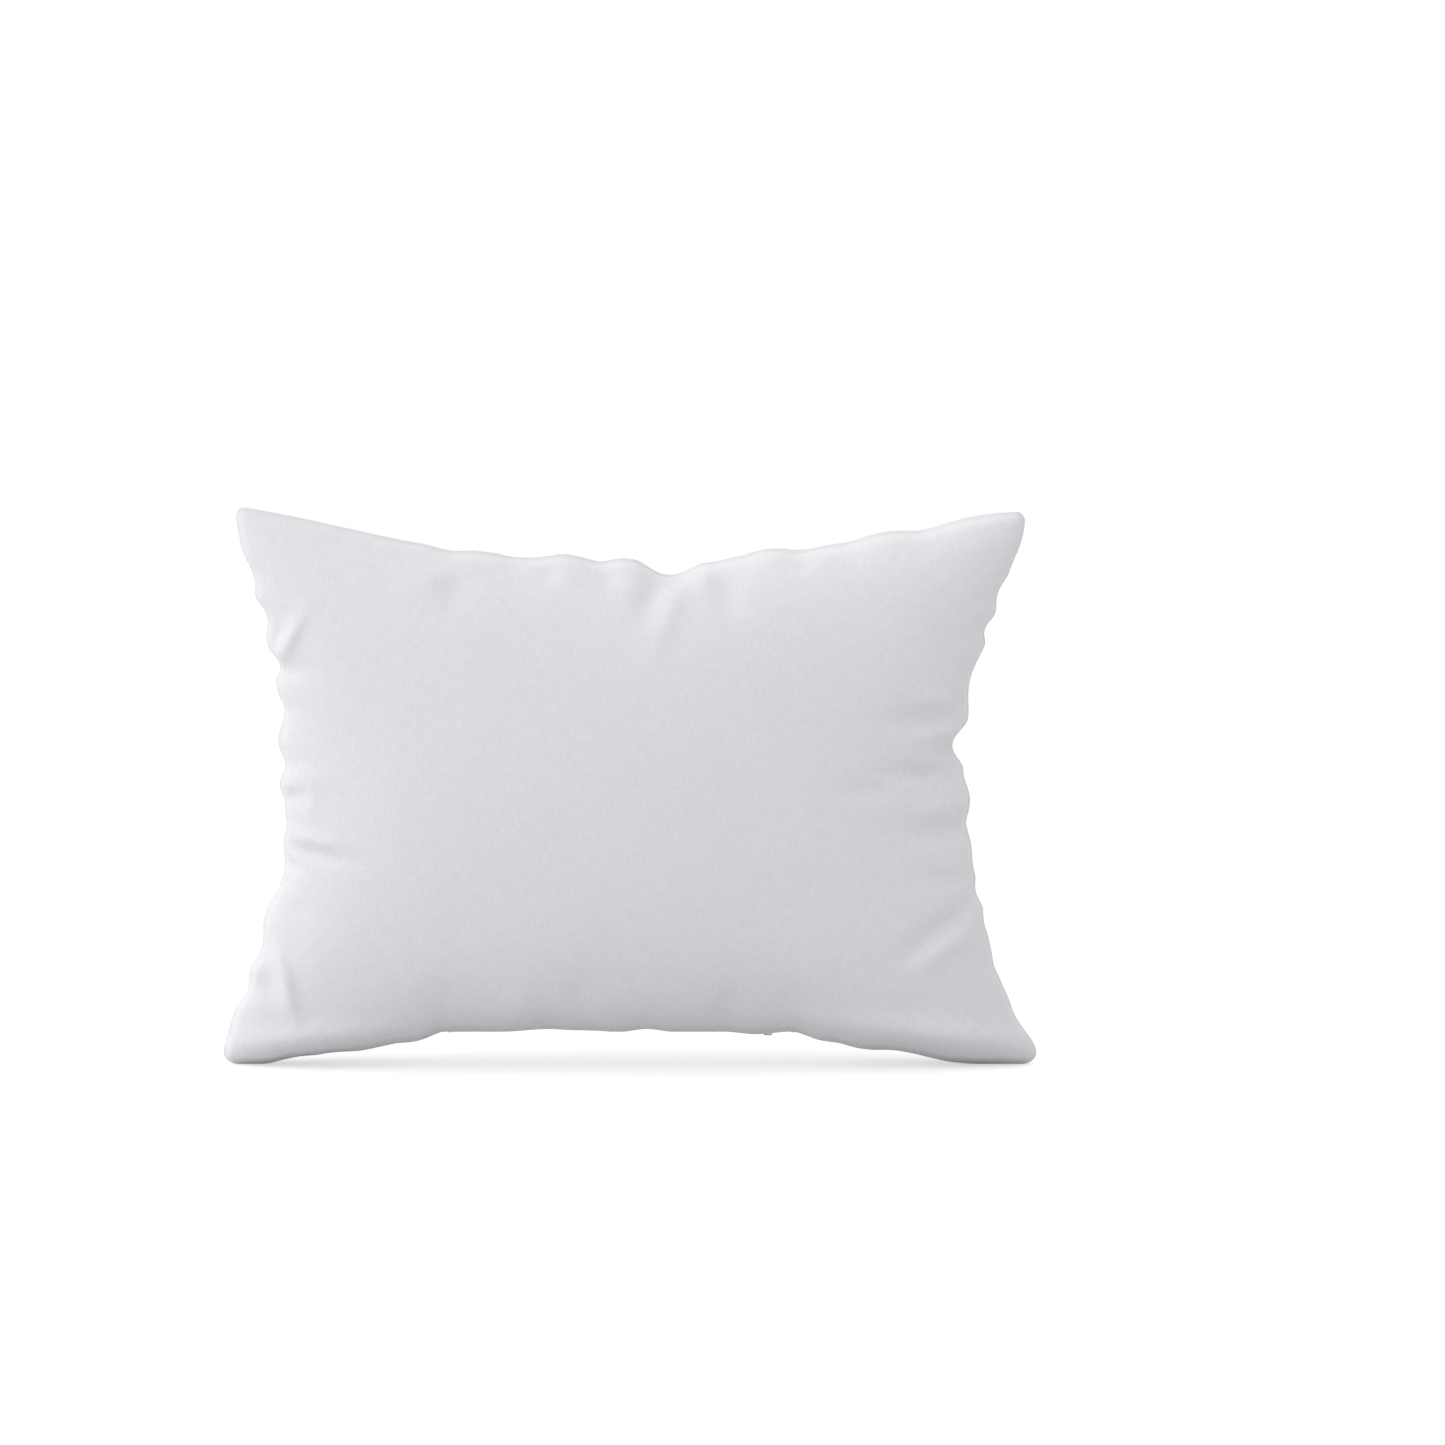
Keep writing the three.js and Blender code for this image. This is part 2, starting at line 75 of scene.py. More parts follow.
class Shader:
    def __init__(self, owner):
        self.owner = owner
        owner.use_nodes = True
        self.tree = owner.node_tree

    def add(self, kind, settings=None, *inputs, out=0, **named):
        node = self.tree.nodes.new(kind)
        for key, value in (settings or {}).items():
            setattr(node, key, value)
        for key, value in [*enumerate(inputs), *named.items()]:
            self.feed(node.inputs[key.replace("_", " ") if isinstance(key, str) else key], value)
        return Value(self, node.outputs[out])

    def feed(self, socket, value):
        if isinstance(value, Value):
            self.tree.links.new(value.socket, socket)
        elif value is not None:
            socket.default_value = value

    def ramp(self, value, *stops):
        made = self.add("ShaderNodeValToRGB", None, value)
        ramp = made.socket.node.color_ramp
        while len(ramp.elements) < len(stops):
            ramp.elements.new(0.5)
        for element, (at, colour) in zip(ramp.elements, stops):
            element.position = at
            element.color = (*colour, 1)
        return made

    def place(self, source, stretch=(1, 1, 1), turn=(0, 0, 0)):
        if source == "object":
            where = self.add("ShaderNodeTexCoord", out="Object")
        else:
            where = self.add("ShaderNodeAttribute", {"attribute_name": source}, out="Vector")
        return self.add("ShaderNodeMapping", None, where, Scale=stretch, Rotation=turn)

    def noise(self, where, scale, detail=2.0, roughness=0.5):
        return self.add("ShaderNodeTexNoise", None,
                        Vector=where, Scale=scale, Detail=detail, Roughness=roughness)

    def wave(self, where, along, scale, distortion=0.0, profile="SIN"):
        settings = {"bands_direction": along, "wave_profile": profile}
        return self.add("ShaderNodeTexWave", settings,
                        Vector=where, Scale=scale, Distortion=distortion, out="Fac")

    def bump(self, height, strength, distance):
        return self.add("ShaderNodeBump", None, Strength=strength, Distance=distance, Height=height)

    def finish(self, colour, roughness, normal=None, **fixed):
        surface = self.tree.nodes["Principled BSDF"].inputs
        self.feed(surface["Base Color"], colour)
        self.feed(surface["Roughness"], roughness)
        self.feed(surface["Normal"], normal)
        for key, value in fixed.items():
            surface[key.replace("_", " ")].default_value = value
        return self.owner


# Materials. A look holds the colours from dark to light and what a user would change of the finish;
# roughness is (least, how much the pattern adds), bump is (strength, distance)
def newShader(name):
    return Shader(bpy.data.materials.new(name))


def rough(look, pattern):
    least, more = look["roughness"]
    return least + more * pattern


percale = {
    "weft": (0.74, 0.75, 0.775), "warp": (0.815, 0.825, 0.845), "threadPitch": 0.45 * mm,
    "slubs": (860, 85, 1), "picks": (60, 760, 1), "clouds": 9.0, "creases": 28.0,
    "roughness": (0.88, 0.1), "bump": (0.6, 0.4 * mm), "sheen": 0.5,
}


def makePercale():
    cloth = newShader("cover_percale")
    place = cloth.place("clothPlace")
    threads = math.pi / percale["threadPitch"] / 10  # one band of the wave for each thread
    slubs = cloth.noise(cloth.place("clothPlace", percale["slubs"]), 1.0, 3)
    picks = cloth.noise(cloth.place("clothPlace", percale["picks"]), 1.0, 3)
    cloudy = cloth.noise(place, percale["clouds"], 2)
    soft = cloth.noise(place, percale["creases"], 1)
    warp = cloth.wave(place, "X", threads)
    weft = cloth.wave(place, "Y", threads)
    shade = 0.58 * slubs + 0.30 * picks + 0.12 * cloudy
    colour = cloth.ramp(shade, (0.36, percale["weft"]), (0.64, percale["warp"]))
    height = 0.5 * slubs + 0.3 * picks + 0.12 * warp + 0.12 * weft + 2.0 * soft
    return cloth.finish(colour, rough(percale, slubs), cloth.bump(height, *percale["bump"]),
                        Sheen_Weight=percale["sheen"], Sheen_Roughness=0.45, Specular_IOR_Level=0.2)


liningLook = {
    "dark": (0.80, 0.79, 0.76), "light": (0.88, 0.875, 0.855), "slubs": (420, 420, 1), "weave": 420,
    "patches": 14.0, "roughness": (0.9, 0.08), "bump": (0.5, 0.3 * mm), "sheen": 0.3,
}


def makeLining():
    cloth = newShader("lining_cotton")
    place = cloth.place("clothPlace")
    slubs = cloth.noise(cloth.place("clothPlace", liningLook["slubs"]), 1.0, 2)
    weave = cloth.wave(place, "X", liningLook["weave"]) * cloth.wave(place, "Y", liningLook["weave"])
    patches = cloth.noise(place, liningLook["patches"], 2)
    colour = cloth.ramp(0.6 * slubs + 0.4 * patches, (0.3, liningLook["dark"]), (0.7, liningLook["light"]))
    relief = cloth.bump(0.6 * slubs + 0.5 * weave, *liningLook["bump"])
    return cloth.finish(colour, rough(liningLook, slubs), relief,
                        Sheen_Weight=liningLook["sheen"], Sheen_Roughness=0.5, Specular_IOR_Level=0.2)


fibreLook = {
    "dark": (0.82, 0.82, 0.81), "light": (0.94, 0.94, 0.93), "tufts": 55.0, "strands": (260, 900, 260),
    "crimp": 120.0, "roughness": (0.95, 0.04), "bump": (0.7, 1.2 * mm), "sheen": 0.5,
}


def makeFibre():
    fibre = newShader("hollow_fibre")
    place = fibre.place("object")
    tufts = fibre.noise(place, fibreLook["tufts"], 4, 0.65)
    strands = fibre.noise(fibre.place("object", fibreLook["strands"]), 1.0, 4, 0.7)
    crimp = fibre.add("ShaderNodeTexVoronoi", {"feature": "F1"}, Vector=place, Scale=fibreLook["crimp"])
    colour = fibre.ramp(0.6 * tufts + 0.4 * strands, (0.3, fibreLook["dark"]), (0.7, fibreLook["light"]))
    relief = fibre.bump(tufts + 0.5 * strands + 0.3 * crimp, *fibreLook["bump"])
    return fibre.finish(colour, rough(fibreLook, strands), relief,
                        Sheen_Weight=fibreLook["sheen"], Sheen_Roughness=0.6, Specular_IOR_Level=0.15)


threadLook = {"dark": (0.74, 0.74, 0.73), "light": (0.90, 0.90, 0.89), "twist": 900.0, "fuzz": 2600.0,
              "roughness": (0.6, 0.25), "bump": (0.5, 0.08 * mm), "sheen": 0.2}


def makeThread():
    thread = newShader("sewing_thread")
    place = thread.place("object")
    twist = thread.wave(place, "DIAGONAL", threadLook["twist"], 1.5)
    fuzz = thread.noise(place, threadLook["fuzz"], 2)
    colour = thread.ramp(twist, (0.1, threadLook["dark"]), (0.8, threadLook["light"]))
    relief = thread.bump(twist + 0.4 * fuzz, *threadLook["bump"])
    return thread.finish(colour, rough(threadLook, fuzz), relief, Sheen_Weight=threadLook["sheen"])


labelLook = {"dark": (0.84, 0.84, 0.83), "light": (0.93, 0.93, 0.92), "floats": (300, 300, 6000),
             "ribs": 700.0, "roughness": (0.28, 0.2), "bump": (0.3, 0.05 * mm), "sheen": 0.1}


def makeLabel():
    satin = newShader("label_satin")
    floats = satin.noise(satin.place("object", labelLook["floats"]), 1.0, 2)
    ribs = satin.wave(satin.place("object"), "Z", labelLook["ribs"], 0.4)
    colour = satin.ramp(floats, (0.3, labelLook["dark"]), (0.7, labelLook["light"]))
    return satin.finish(colour, rough(labelLook, floats), satin.bump(ribs, *labelLook["bump"]),
                        Sheen_Weight=labelLook["sheen"])


tapeLook = {"dark": (0.72, 0.73, 0.74), "light": (0.86, 0.87, 0.88), "herringbone": 520.0,
            "ends": (1800, 1, 300), "roughness": (0.65, 0.2), "bump": (0.5, 0.12 * mm), "sheen": 0.2}


def makeTape():
    tape = newShader("zip_tape")
    herring = tape.wave(tape.place("object"), "DIAGONAL", tapeLook["herringbone"], 0.3, "TRI")
    ends = tape.noise(tape.place("object", tapeLook["ends"]), 1.0, 2)
    colour = tape.ramp(0.5 * herring + 0.5 * ends, (0.25, tapeLook["dark"]), (0.75, tapeLook["light"]))
    return tape.finish(colour, rough(tapeLook, ends), tape.bump(herring + 0.5 * ends, *tapeLook["bump"]),
                       Sheen_Weight=tapeLook["sheen"])


coilLook = {"dark": (0.80, 0.81, 0.81), "light": (0.88, 0.89, 0.89), "streaks": (900, 200, 200),
            "roughness": (0.28, 0.15), "bump": (0.2, 0.03 * mm), "coat": 0.2}


def makeCoil():
    coil = newShader("zip_coil")
    streaks = coil.noise(coil.place("object", coilLook["streaks"]), 1.0, 2)
    colour = coil.ramp(streaks, (0.3, coilLook["dark"]), (0.7, coilLook["light"]))
    return coil.finish(colour, rough(coilLook, streaks), coil.bump(streaks, *coilLook["bump"]),
                       Coat_Weight=coilLook["coat"])


metalLook = {
    "plating": (0.58, 0.58, 0.59), "dulled": (0.52, 0.52, 0.53), "worn": (0.36, 0.36, 0.37),
    "patina": 380.0, "grain": (400, 3000, 3000), "roughness": (0.32, 0.18), "bump": (0.15, 0.03 * mm),
    "coat": 0.4,
}


def makeMetal():
    metal = newShader("slider_metal")
    grain = metal.noise(metal.place("object", metalLook["grain"]), 1.0, 3)
    worn = metal.noise(metal.place("object"), metalLook["patina"], 4)
    colour = metal.ramp(worn, (0.35, metalLook["plating"]), (0.62, metalLook["dulled"]),
                        (0.78, metalLook["worn"]))
    shine = metal.ramp(worn, (0.6, (0.1, 0.1, 0.1)), (0.8, (0.9, 0.9, 0.9)))
    made = metal.finish(colour, rough(metalLook, grain), metal.bump(grain, *metalLook["bump"]),
                        Coat_Weight=metalLook["coat"])
    metal.feed(metal.tree.nodes["Principled BSDF"].inputs["Metallic"], shine)
    return made


def linkMesh(name, points, faces, material, body="pillow", smooth=True):
    mesh = bpy.data.meshes.new(name)
    mesh.from_pydata(np.asarray(points).tolist(), [], faces if isinstance(faces, list) else faces.tolist())
    mesh.validate()
    obj = bpy.data.objects.new(name, mesh)
    scene.collection.objects.link(obj)
    if material:
        mesh.materials.append(material)
    if smooth:
        mesh.shade_smooth()
    if body:
        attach(obj, body)
    return obj


def notch(distance, reach):
    # A smooth bump: 1 at distance 0, flat and 0 at the reach
    t = np.minimum(np.abs(distance) / reach, 1)
    return (1 - t * t) ** 2


# Cover. Sizes are in millimetres until a mesh is made; u and v run from -1 to 1 across and up the pillow
cover = {
    "halfTop": 345, "halfFoot": 362, "height": 489, "crown": 95, "plumpness": 0.42,
    "topBow": 45, "leftBow": 50, "rightBow": 60, "topBowPower": 1.6, "sideBowPower": 1.5,
    "topRound": 10, "footRound": 15, "tugLength": 60,
    "zipHeight": 29, "zipFrom": -163, "zipTo": 148, "zipFade": 10,
    "pullAt": 112, "pullGap": 2.6, "pullReach": 60,
    "leftRamp": (-165, -318), "rightRamp": (146, 306), "rampBow": 1.4,
    # (place along the edge, how far the seam is drawn in, reach); a negative draw lets it bulge out
    "topTugs": [(-305, -5, 130), (-158, 2.5, 24), (-100, 1.5, 22), (-55, -4.5, 30), (-5, -3.5, 22),
                (35, 12, 30), (66, 3.5, 32), (121, -3.2, 26), (155, 1.2, 18), (222, -4, 36), (300, -4, 50)],
    "leftTugs": [(432, 4, 22), (396, 6, 20), (354, 6.5, 16), (316, 3.5, 14), (286, -5, 20),
                 (249, -5, 16), (211, 3, 20), (171, 7.5, 36), (104, 5.5, 26), (68, 5.5, 20)],
    "rightTugs": [(466, -2, 30), (417, 3.8, 18), (385, 4.6, 14), (341, 5, 34), (284, 11, 22),
                  (236, -5.5, 24), (196, -2, 20), (153, 3.5, 16), (121, 5, 26), (86, 10, 34), (48, 9, 34)],
    "bottomTugs": [(-188, -2.6, 22), (-270, 3.5, 36), (-300, 3.5, 26), (-72, 2.3, 40), (-35, 1, 20),
                   (15, 2.4, 22), (112, -2.2, 28), (168, -2.4, 22), (200, -1.8, 24), (240, 3, 26),
                   (262, 1.5, 20)],
    "columns": 125, "rows": 84, "cloth": 0.8, "lipWidth": 0.7, "lipDepth": 1.6, "zipLipDepth": 5.2,
    "foldFade": 5, "foldTail": 0.4, "innerEase": 0.3, "patternSize": (375, 250),
}
# Section of the sewn edge and of the zip lip, as (depth from the outline, distance from the mid-plane)
plainEdge = [(0.4, 1.5), (0.12, 1.15), (0, 0.7), (0.3, 0.15), (2.5, 0.15), (4, 0.15), (6, 0.15),
             (8, 0.15), (10, 0.15), (10, 0.95), (8, 0.95), (6, 0.95), (3.2, 0.95)]
zipEdge = [(0.6, 4.5), (0.2, 3.5), (0, 2.5), (0.2, 1.4), (1.4, 3.6), (4, 3.6), (8.2, 3.6),
           (10.2, 1.5), (20, 1.5), (20, 2.3), (10.5, 2.3), (8.4, 4.4), (3.2, 4.4)]


def tugged(tugs, at):
    return sum(by * notch(at - where, reach) for where, by, reach in tugs)


def topEdge(s):
    x = s * cover["halfTop"]
    bow = cover["topBow"] * (1 - np.abs(s) ** cover["topBowPower"])
    return np.stack([x, cover["height"] - bow], -1)


def bottomEdge(s):
    x = s * cover["halfFoot"]
    level = np.where(x < 0, cover["leftRamp"][0], cover["rightRamp"][0])
    end = np.where(x < 0, cover["leftRamp"][1], cover["rightRamp"][1])
    t = np.clip((x - level) / (end - level), 0, 1)
    return np.stack([x, cover["zipHeight"] * (1 - t) ** cover["rampBow"]], -1)


def sideEdge(side, s):
    out = cover["halfFoot"] + (cover["halfTop"] - cover["halfFoot"]) * (s + 1) / 2
    bow = cover["leftBow"] if side < 0 else cover["rightBow"]
    drawn = bow * (1 - s * s) ** cover["sideBowPower"]
    return np.stack([side * (out - drawn), (s + 1) / 2 * cover["height"]], -1)


def arcSlide(near, radius):
    # How far a point near a corner slides along its edge and drops away from it
    turn = np.pi / 4 * near
    return radius * near - radius * np.sin(turn), radius * (1 - np.cos(turn))


def roundCorner(u, v, radius, upper):
    # Moves the last stretch of both edges onto an arc, and eases what lies beside them
    a, b = (1 - np.abs(u)) * cover["halfFoot"], (1 - np.abs(v)) * cover["height"] / 2
    nearA, nearB = np.clip(1 - a / radius, 0, 1), np.clip(1 - b / radius, 0, 1)
    (slideA, dropA), (slideB, dropB) = arcSlide(nearA, radius), arcSlide(nearB, radius)
    corner = radius * (1 - math.sqrt(0.5)) * nearA * nearB
    x = slideA * nearB + dropB * nearA - corner
    z = dropA * nearB + slideB * nearA - corner
    here = (v > 0) == upper
    return np.stack([np.sign(u) * x * here, np.sign(v) * z * here], -1)


def tugFade(share, size):
    # 1 on the seam, where the share is 1, and 0 a tug's length inside it
    return np.clip(1 - (1 - share) * size / cover["tugLength"], 0, 1) ** 2


def midPlane(u, v):
    # Places inside the outline: the four edges blended, then the tugs and the rounded corners
    across, up = (u + 1)[..., None] / 2, (v + 1)[..., None] / 2
    one = np.ones(())
    low, high, left, right = bottomEdge(u), topEdge(u), sideEdge(-1, v), sideEdge(1, v)
    edges = low * (1 - up) + high * up + left * (1 - across) + right * across
    lowCorners = bottomEdge(-one) * (1 - across) + bottomEdge(one) * across
    highCorners = topEdge(-one) * (1 - across) + topEdge(one) * across
    made = edges - lowCorners * (1 - up) - highCorners * up
    x, z = made[..., 0].copy(), made[..., 1].copy()
    made[..., 1] -= tugged(cover["topTugs"], x) * tugFade(v, cover["height"] / 2)
    made[..., 1] += tugged(cover["bottomTugs"], x) * tugFade(-v, cover["height"] / 2)
    made[..., 0] += tugged(cover["leftTugs"], z) * tugFade(-u, cover["halfFoot"])
    made[..., 0] -= tugged(cover["rightTugs"], z) * tugFade(u, cover["halfFoot"])
    return made - roundCorner(u, v, cover["topRound"], True) - roundCorner(u, v, cover["footRound"], False)


def zipShare(u, v):
    # 1 along the slit, fading to 0 just beyond its ends
    x = u * cover["halfFoot"]
    outside = np.maximum(cover["zipFrom"] - x, x - cover["zipTo"])
    fade = np.clip(1 - outside / cover["zipFade"], 0, 1)
    return np.where(v <= -1 + 1e-6, fade * fade * (3 - 2 * fade), 0)


def fullness(u, v):
    return np.maximum((1 - u * u) * (1 - v * v), 0) ** cover["plumpness"]


def gridLines(columns, rows):
    return np.meshgrid(np.linspace(-1, 1, columns + 1), np.linspace(-1, 1, rows + 1), indexing="ij")


def stuffedGrids(u, v):
    # Front and back skin before the cloth simulation
    flat = midPlane(u, v) - cover["lipWidth"] * np.stack([u, v], -1)
    edge = cover["lipDepth"] + (cover["zipLipDepth"] - cover["lipDepth"]) * zipShare(u, v)
    y = edge + (cover["crown"] - edge) * fullness(u, v)
    front = np.stack([flat[..., 0], -y, flat[..., 1]], -1)
    return front, front * [1, -1, 1]


def gridFaces(index, flip=False):
    a, b, c, d = index[:-1, :-1], index[1:, :-1], index[1:, 1:], index[:-1, 1:]
    quads = np.stack([a, b, c, d] if not flip else [d, c, b, a], -1)
    return quads.reshape(-1, 4)


sewing = {
    "frames": 24, "quality": 6, "mass": 0.15, "pressure": 5.0, "ease": 0.02, "stretch": 25, "shear": 6,
    "bending": 15.0, "damping": 2, "cap": 14,
}


def simulateCover(u, v, front, back):
    # Blows the cover up with its seam pinned and a little more cloth towards the seam
    count = u.size
    frontIndex = np.arange(count).reshape(u.shape)
    backIndex = frontIndex + count
    points = np.concatenate([front.reshape(-1, 3), back.reshape(-1, 3)])
    faces = np.concatenate([gridFaces(frontIndex), gridFaces(backIndex, True)])
    border = np.zeros(u.shape, bool)
    border[[0, -1], :] = border[:, [0, -1]] = True
    obj = linkMesh("coverCloth", points * mm, faces, None, None)
    pins = obj.vertex_groups.new(name="seam")
    pins.add([int(i) for i in np.flatnonzero(np.tile(border.ravel(), 2))], 1, "REPLACE")
    nearSeam = np.maximum(np.abs(u), np.abs(v)) ** 2
    loose = obj.vertex_groups.new(name="ease")
    for i, weight in enumerate(np.tile(nearSeam.ravel(), 2)):
        loose.add([i], float(weight), "REPLACE")
    cloth = obj.modifiers.new("cloth", "CLOTH").settings
    cloth.quality = sewing["quality"]
    cloth.mass = sewing["mass"]
    cloth.tension_stiffness = cloth.compression_stiffness = sewing["stretch"]
    cloth.shear_stiffness = sewing["shear"]
    cloth.bending_stiffness = sewing["bending"]
    cloth.air_damping = sewing["damping"]
    cloth.vertex_group_mass = "seam"
    cloth.vertex_group_shrink = "ease"
    cloth.shrink_min = 0
    cloth.shrink_max = -sewing["ease"]
    cloth.use_pressure = True
    cloth.uniform_pressure_force = sewing["pressure"]
    cloth.effector_weights.gravity = 0
    for number in range(1, sewing["frames"] + 1):
        scene.frame_set(number)
    settled = obj.evaluated_get(bpy.context.evaluated_depsgraph_get()).data
    found = np.zeros(len(points) * 3, np.float32)
    settled.vertices.foreach_get("co", found)
    bpy.data.objects.remove(obj)
    scene.frame_set(1)
    moved = found.reshape(-1, 3) / mm - points
    far = np.linalg.norm(moved, axis=1, keepdims=True)
    most, typical = round(float(far.max()), 1), round(float(np.median(far)), 1)
    print("cover cloth: moved at most", most, "mm, typically", typical)
    points = points + moved * np.minimum(1, sewing["cap"] / np.maximum(far, 1e-6))
    return points[:count].reshape(front.shape), points[count:].reshape(back.shape)


def refined(grid):
    # Twice as fine along both directions, on a smooth curve through the points
    for axis in (0, 1):
        g = np.moveaxis(grid, axis, 0)
        ends = np.concatenate([2 * g[:1] - g[1:2], g, 2 * g[-1:] - g[-2:-1]])
        middle = (9 * (g[:-1] + g[1:]) - ends[:-3] - ends[3:]) / 16
        fine = np.empty((2 * len(g) - 1, *g.shape[1:]))
        fine[::2], fine[1::2] = g, middle
        grid = np.moveaxis(fine, 0, axis)
    return grid


def gridNormals(grid):
    # Unit normals of a grid, all towards the front
    across = np.gradient(grid, axis=0)
    up = np.gradient(grid, axis=1)
    normal = np.cross(across, up)
    return normal / np.maximum(np.linalg.norm(normal, axis=-1, keepdims=True), 1e-9)


def borderLoop(index):
    # The values along the border, once round: bottom, right, top, left
    return np.concatenate([index[:-1, 0], index[-1, :-1], index[:0:-1, -1], index[0, :0:-1]])


percaleCloth = makePercale()
coarseU, coarseV = gridLines(cover["columns"], cover["rows"])
frontGrid, backGrid = stuffedGrids(coarseU, coarseV)
frontGrid, backGrid = simulateCover(coarseU, coarseV, frontGrid, backGrid)
u, v = refined(coarseU[..., None])[..., 0], refined(coarseV[..., None])[..., 0]


# Listed folds: (from x, from z, to x, to z, depth, width); a negative depth is a ridge
footRidges = [(-350, 19, -220, 34, -8.0, 13), (352, 21, 180, 42, -8.0, 14)]
frontFolds = [
    # along the top seam
    (-132, 452, -182, 428, -2.6, 11), (-146, 424, -158, 410, 2.6, 14), (-70, 440, -70, 430, 2.8, 8),
    (-18, 438, -17, 424, 2.6, 9), (24, 428, 12, 402, 4.2, 11), (46, 436, 24, 378, -2.6, 10),
    (82, 430, 86, 404, 3.2, 13), (62, 440, 70, 426, -2.6, 10), (37, 432, 42, 430, 3.0, 6),
    (160, 446, 168, 440, -2.0, 12),
    # along the left seam, from the top down
    (-286, 396, -308, 358, -5.0, 7), (-302, 388, -312, 372, 4.4, 6), (-304, 349, -282, 351, 3.2, 8),
    (-306, 263, -268, 258, -3.0, 9), (-306, 241, -284, 241, 6.0, 6), (-277, 250, -277, 228, -2.0, 6),
    (-304, 197, -250, 188, 6.4, 7), (-296, 208, -252, 200, -3.2, 6), (-310, 188, -286, 177, 5.0, 5),
    (-308, 106, -295, 50, -5.0, 7), (-320, 88, -313, 66, 4.6, 9), (-300, 146, -280, 140, 2.6, 10),
    # along the right seam, from the notch down
    (232, 311, 286, 308, 8.5, 10), (258, 327, 290, 330, -3.0, 9), (266, 283, 294, 281, 12, 8),
    (258, 296, 290, 297, -4.0, 7), (226, 265, 286, 261, 8.5, 8), (180, 250, 232, 251, 3.0, 9),
    (246, 214, 294, 207, 8.0, 10), (256, 232, 292, 235, -3.4, 8), (256, 170, 300, 168, 4.0, 8),
    (248, 112, 298, 147, 8.0, 9), (256, 96, 304, 130, -3.2, 9), (278, 333, 293, 316, 4.0, 5),
    # along the bottom seam
    (-40, 86, -40, 64, 2.8, 14), (88, 70, 86, 46, 3.4, 13), (-98, 72, -92, 44, -2.6, 13),
    (-72, 42, -70, 36, 2.4, 10), *footRidges,
]
backFolds = [
    (-60, 440, -46, 384, 3.6, 11), (30, 444, 22, 410, -2.6, 13), (118, 452, 136, 420, 2.2, 10),
    (-170, 452, -176, 424, 2.0, 12), (286, 330, 246, 322, 2.6, 8), (290, 236, 252, 240, 2.8, 7),
    (296, 170, 262, 160, 2.2, 9), (300, 92, 288, 60, -2.4, 8), (-296, 300, -258, 296, 3.0, 8),
    (-298, 226, -262, 230, 2.2, 10), (-300, 140, -268, 128, 2.4, 9), (-312, 380, -290, 366, 1.8, 8),
    (-30, 44, -30, 70, 2.2, 12), (60, 42, 60, 66, 1.8, 11), (120, 40, 116, 62, 2.0, 10), *footRidges,
]


def foldedSkin(skin, folds, side):
    x, y, z = skin[..., 0], skin[..., 1].copy(), skin[..., 2]
    near = 1 - np.maximum(np.abs(u), np.abs(v))
    fade = np.clip(near * cover["height"] / 2 / cover["foldFade"], 0, 1)
    for fromX, fromZ, toX, toZ, depth, width in folds:
        length = math.hypot(toX - fromX, toZ - fromZ)
        runX, runZ = (toX - fromX) / length, (toZ - fromZ) / length
        fromMiddleX, fromMiddleZ = x - (fromX + toX) / 2, z - (fromZ + toZ) / 2
        along = (fromMiddleX * runX + fromMiddleZ * runZ) / (length / 2 + width * cover["foldTail"])
        across = (fromMiddleZ * runX - fromMiddleX * runZ) / width
        y -= side * depth * fade * np.exp(-along ** 2 - across ** 2)
    return np.stack([x, y, z], -1)


def buildPanel(name, side, outline, outer, sections, share, cloth, material):
    # A closed shell: outer skin, rolled edge, turned-in allowance and inner skin.
    # The edge goes over from the first section to the second as the share goes from 0 to 1
    front = side < 0
    gridU, gridV = gridLines(outer.shape[0] - 1, outer.shape[1] - 1)
    underside = outer + side * cloth * gridNormals(outer)
    index = np.arange(gridU.size).reshape(gridU.shape)
    loop = borderLoop(index)
    baseX, baseZ = borderLoop(outline[..., 0]), borderLoop(outline[..., 1])
    leanU, leanV, zipped = borderLoop(gridU), borderLoop(gridV), borderLoop(share)
    rings = []
    for (plainDepth, plainAway), (zipDepth, zipAway) in zip(*sections):
        depth = plainDepth + (zipDepth - plainDepth) * zipped
        away = plainAway + (zipAway - plainAway) * zipped
        parted = cover["pullGap"] * notch(baseX - cover["pullAt"], cover["pullReach"]) * zipped
        away = np.maximum(away, parted)
        rings.append(np.stack([baseX - leanU * depth, side * away, baseZ - leanV * depth], -1))
    innerPoints = underside.reshape(-1, 3).copy()
    ease = cover["innerEase"]
    innerPoints[loop] = rings[-1] * ease + innerPoints[loop] * (1 - ease)
    innerPoints[:, 2] = np.maximum(innerPoints[:, 2], cloth)
    count = gridU.size
    points = np.concatenate([outer.reshape(-1, 3), innerPoints, *rings])
    points[:, 2] = np.maximum(points[:, 2], 0.0)  # the feet stand flat on the floor
    ringLoops = [2 * count + k * len(loop) + np.arange(len(loop)) for k in range(len(rings))]
    chain = [loop, *ringLoops, loop + count]
    strips = []
    for first, second in zip(chain, chain[1:]):
        strip = np.stack([first, second, np.roll(second, -1), np.roll(first, -1)], -1)
        strips.append(strip if front else strip[:, ::-1])
    faces = np.concatenate([gridFaces(index, not front), gridFaces(index + count, front), *strips])
    obj = linkMesh(name, points * mm, faces, material)
    across, up = cover["patternSize"]
    flat = np.stack([gridU * across, gridV * up, 0 * gridU], -1).reshape(-1, 3)
    place = np.concatenate([flat, flat, *[flat[loop]] * len(rings)]) * mm
    pattern = obj.data.attributes.new("clothPlace", "FLOAT_VECTOR", "POINT")
    pattern.data.foreach_set("vector", place.astype(np.float32).ravel())
    return obj


